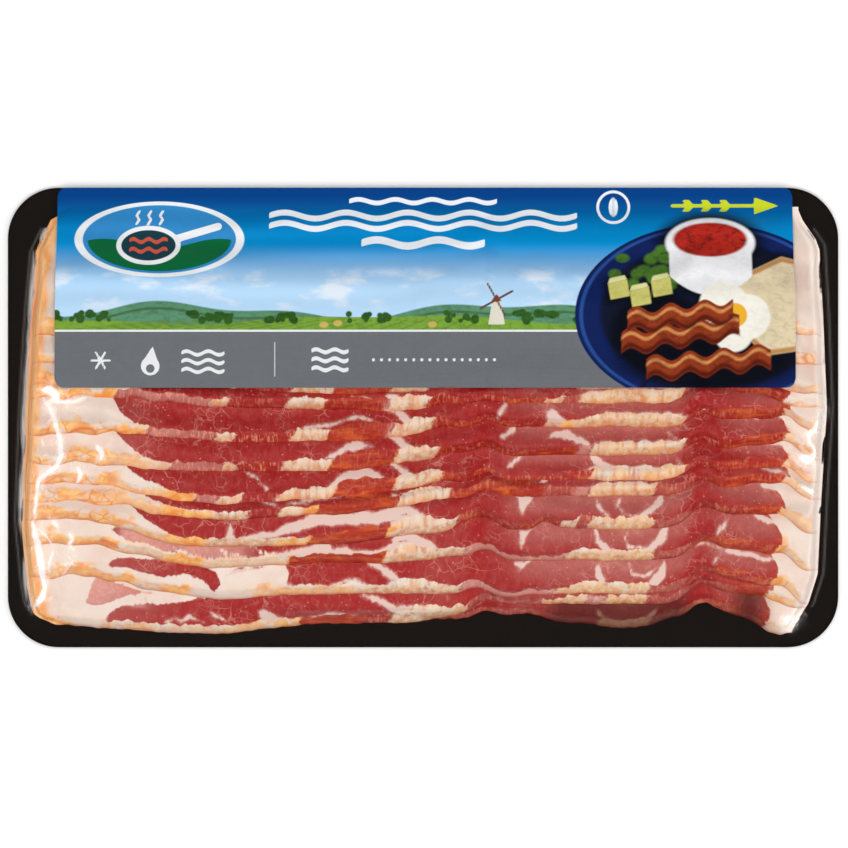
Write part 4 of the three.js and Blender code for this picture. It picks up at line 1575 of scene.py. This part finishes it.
# %% [markdown]
# ## Small signs in the grey band
#
# The grey band carries a few pale signs: a frost star, a drop, waves, a divider and a row of
# dots. All are one ink, so they are joined to one field. Then every ink is written on the
# label's points.

# %% Small signs, and writing the inks
def flake(at):
    """A star of three crossed lines."""
    spokes = [ink_line([(at[0] - 3 * np.cos(a), at[1] - 3 * np.sin(a)),
                        (at[0] + 3 * np.cos(a), at[1] + 3 * np.sin(a))], 0.7)
              for a in (0, np.pi / 3, 2 * np.pi / 3)]
    return joined(*spokes)


drop = cut(joined(disc((-88, 16.6), 3), ink_patch([(-90.8, 17.4), (-87.2, 23), (-85.2, 17)])),
           disc((-88, 15.8), 1.4))
dots = joined(*[disc((x, 18.6), 0.55) for x in np.arange(-16, 24, 2.6)])
right_waves = joined(*[wavy((-36, y), (-24, y), 0.5, 6, 1.3) for y in (21.5, 18.6, 15.7)])
left_waves = joined(*[wavy((-78, y), (-64, y), 0.6, 7, 1.2) for y in (20.8, 18, 15.2)])
divider = np.minimum(between(label_x, -48.2, -47.7), between(label_y, 13, 24.4))
INKS += [
    ("signs", joined(flake((-104, 18.4)), drop, left_waves, right_waves, dots, divider),
     (236, 238, 240), 0.1),
]
for name, field, _, _ in INKS:
    note(label, "ink_" + name, field)
print(len(INKS), "inks")

# %% [markdown]
# ## Sky, ink and varnish
#
# The sky darkens upwards in two soft steps and has thin clouds low down. The inks go over it one
# by one, each with its own softness of border, and a thin varnish gives the sheet a dull shine.

# %% The label's material
# Painted shade over the whole print, against the stronger light the label gets from the lamps.
LAMP_SHADE_ON_PRINT = 0.97
BLOT_SHADE = 0.42


def print_ink(red, green, blue):
    """Printed colours with a painted shade: a little darker, because the label lies closest to
    the lamps.
    """
    return paint(LAMP_SHADE_ON_PRINT * red, LAMP_SHADE_ON_PRINT * green, LAMP_SHADE_ON_PRINT * blue)


def label_material():
    r = Recipe("printed_label")
    split = r.add("ShaderNodeSeparateXYZ")
    r.links.new(r.place(scale=(1000, 1000, 1000)), split.inputs[0])
    y = split.outputs[1]
    sky = r.mix(r.rise(y, 73, 57), print_ink(0, 62, 132), print_ink(0, 138, 204))
    sky = r.mix(r.rise(y, 57, 40), sky, print_ink(184, 220, 250))
    puffs = r.noise(r.place(scale=(1, 2.2, 1)), 62, 4, 0.55)
    low = r.times(r.rise(y, 50, 44), r.rise(y, 33, 38))
    colour = r.mix(r.times(r.rise(puffs, 0.48, 0.66), r.times(low, 0.75)), sky,
                   print_ink(236, 241, 248))
    tone = r.noise(r.place(), 420, 3, 0.6)
    blobs = r.rise(r.noise(r.place(scale=(1, 1.6, 1)), 330, 4, 0.7, 0.8), 0.4, 0.72)
    for name, _, ink, softness in INKS:
        share = r.rise(r.noted("ink_" + name), -softness, softness)
        depth = r.times(blobs, COARSE[name]) if name in COARSE else r.times(tone, 0.16)
        shaded = r.mix(depth, print_ink(*ink), print_ink(*[BLOT_SHADE * v for v in ink]))
        colour = r.mix(share, colour, shaded)
    fibre = r.noise(r.place(), 1800, 2, 0.5)
    shader = r.surface(Base_Color=colour, Roughness=r.rise(fibre, 0.3, 0.7, 0.4, 0.46),
                       Specular_IOR_Level=0.08,
                       Normal=r.bump(fibre, 0.00003, 0.3))
    return r.finish(shader)


label.data.materials.append(label_material())
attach(label, "root")
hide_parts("label")

# %% [markdown]
# ## Light and floor
#
# The photo is lit evenly from above, with no hard shadow, and only the creased ends of the film
# shine. Two wide soft lamps give the even light and are kept out of reflections. A narrow lamp
# stands low at each end: the creases mirror the left one, and the right one lifts its side.
# The floor lies a hair under the board, so that the two faces don't fight for the same place.

# %% The floor and the lamps
FLOOR_DROP = 0.0002
AMBIENT = 0.16


def floor_material():
    r = Recipe("pale_floor")
    shade = r.mix(r.noise(r.place(), 3, 2), paint(250, 250, 250), paint(246, 246, 246))
    return r.finish(r.surface(Base_Color=shade, Roughness=0.9))


bpy.ops.object.select_all(action="DESELECT")
bpy.ops.mesh.primitive_plane_add(size=6, location=(0, 0, -FLOOR_DROP))
floor = bpy.context.active_object
floor.name = "floor"
floor.data.materials.append(floor_material())


def lamp(name, place, size, power, mirrored):
    """A flat lamp that points at the pack. Sizes and places are in metres."""
    data = bpy.data.lights.new(name, "AREA")
    data.shape = "RECTANGLE"
    data.size, data.size_y = size
    data.energy = power
    holder = bpy.data.objects.new(name, data)
    bpy.context.scene.collection.objects.link(holder)
    holder.location = place
    holder.rotation_euler = holder.location.to_track_quat("Z", "Y").to_euler()
    holder.visible_glossy = mirrored


lamp("key_light", (0.0, -0.75, 1.6), (1.6, 1.2), 18.5, False)
lamp("fill_light", (0.0, 0.7, 1.6), (1.4, 1.0), 11, False)
lamp("left_strip", (-1.1, 0.0, 0.45), (0.25, 1.2), 4, True)
lamp("right_strip", (1.1, 0.0, 0.45), (0.25, 1.2), 6, False)

world = bpy.data.worlds.new("studio")
world.use_nodes = True
world.node_tree.nodes["Background"].inputs["Color"].default_value = (1, 1, 1, 1)
world.node_tree.nodes["Background"].inputs["Strength"].default_value = AMBIENT
bpy.context.scene.world = world
print("lamps:", len(bpy.data.lights))
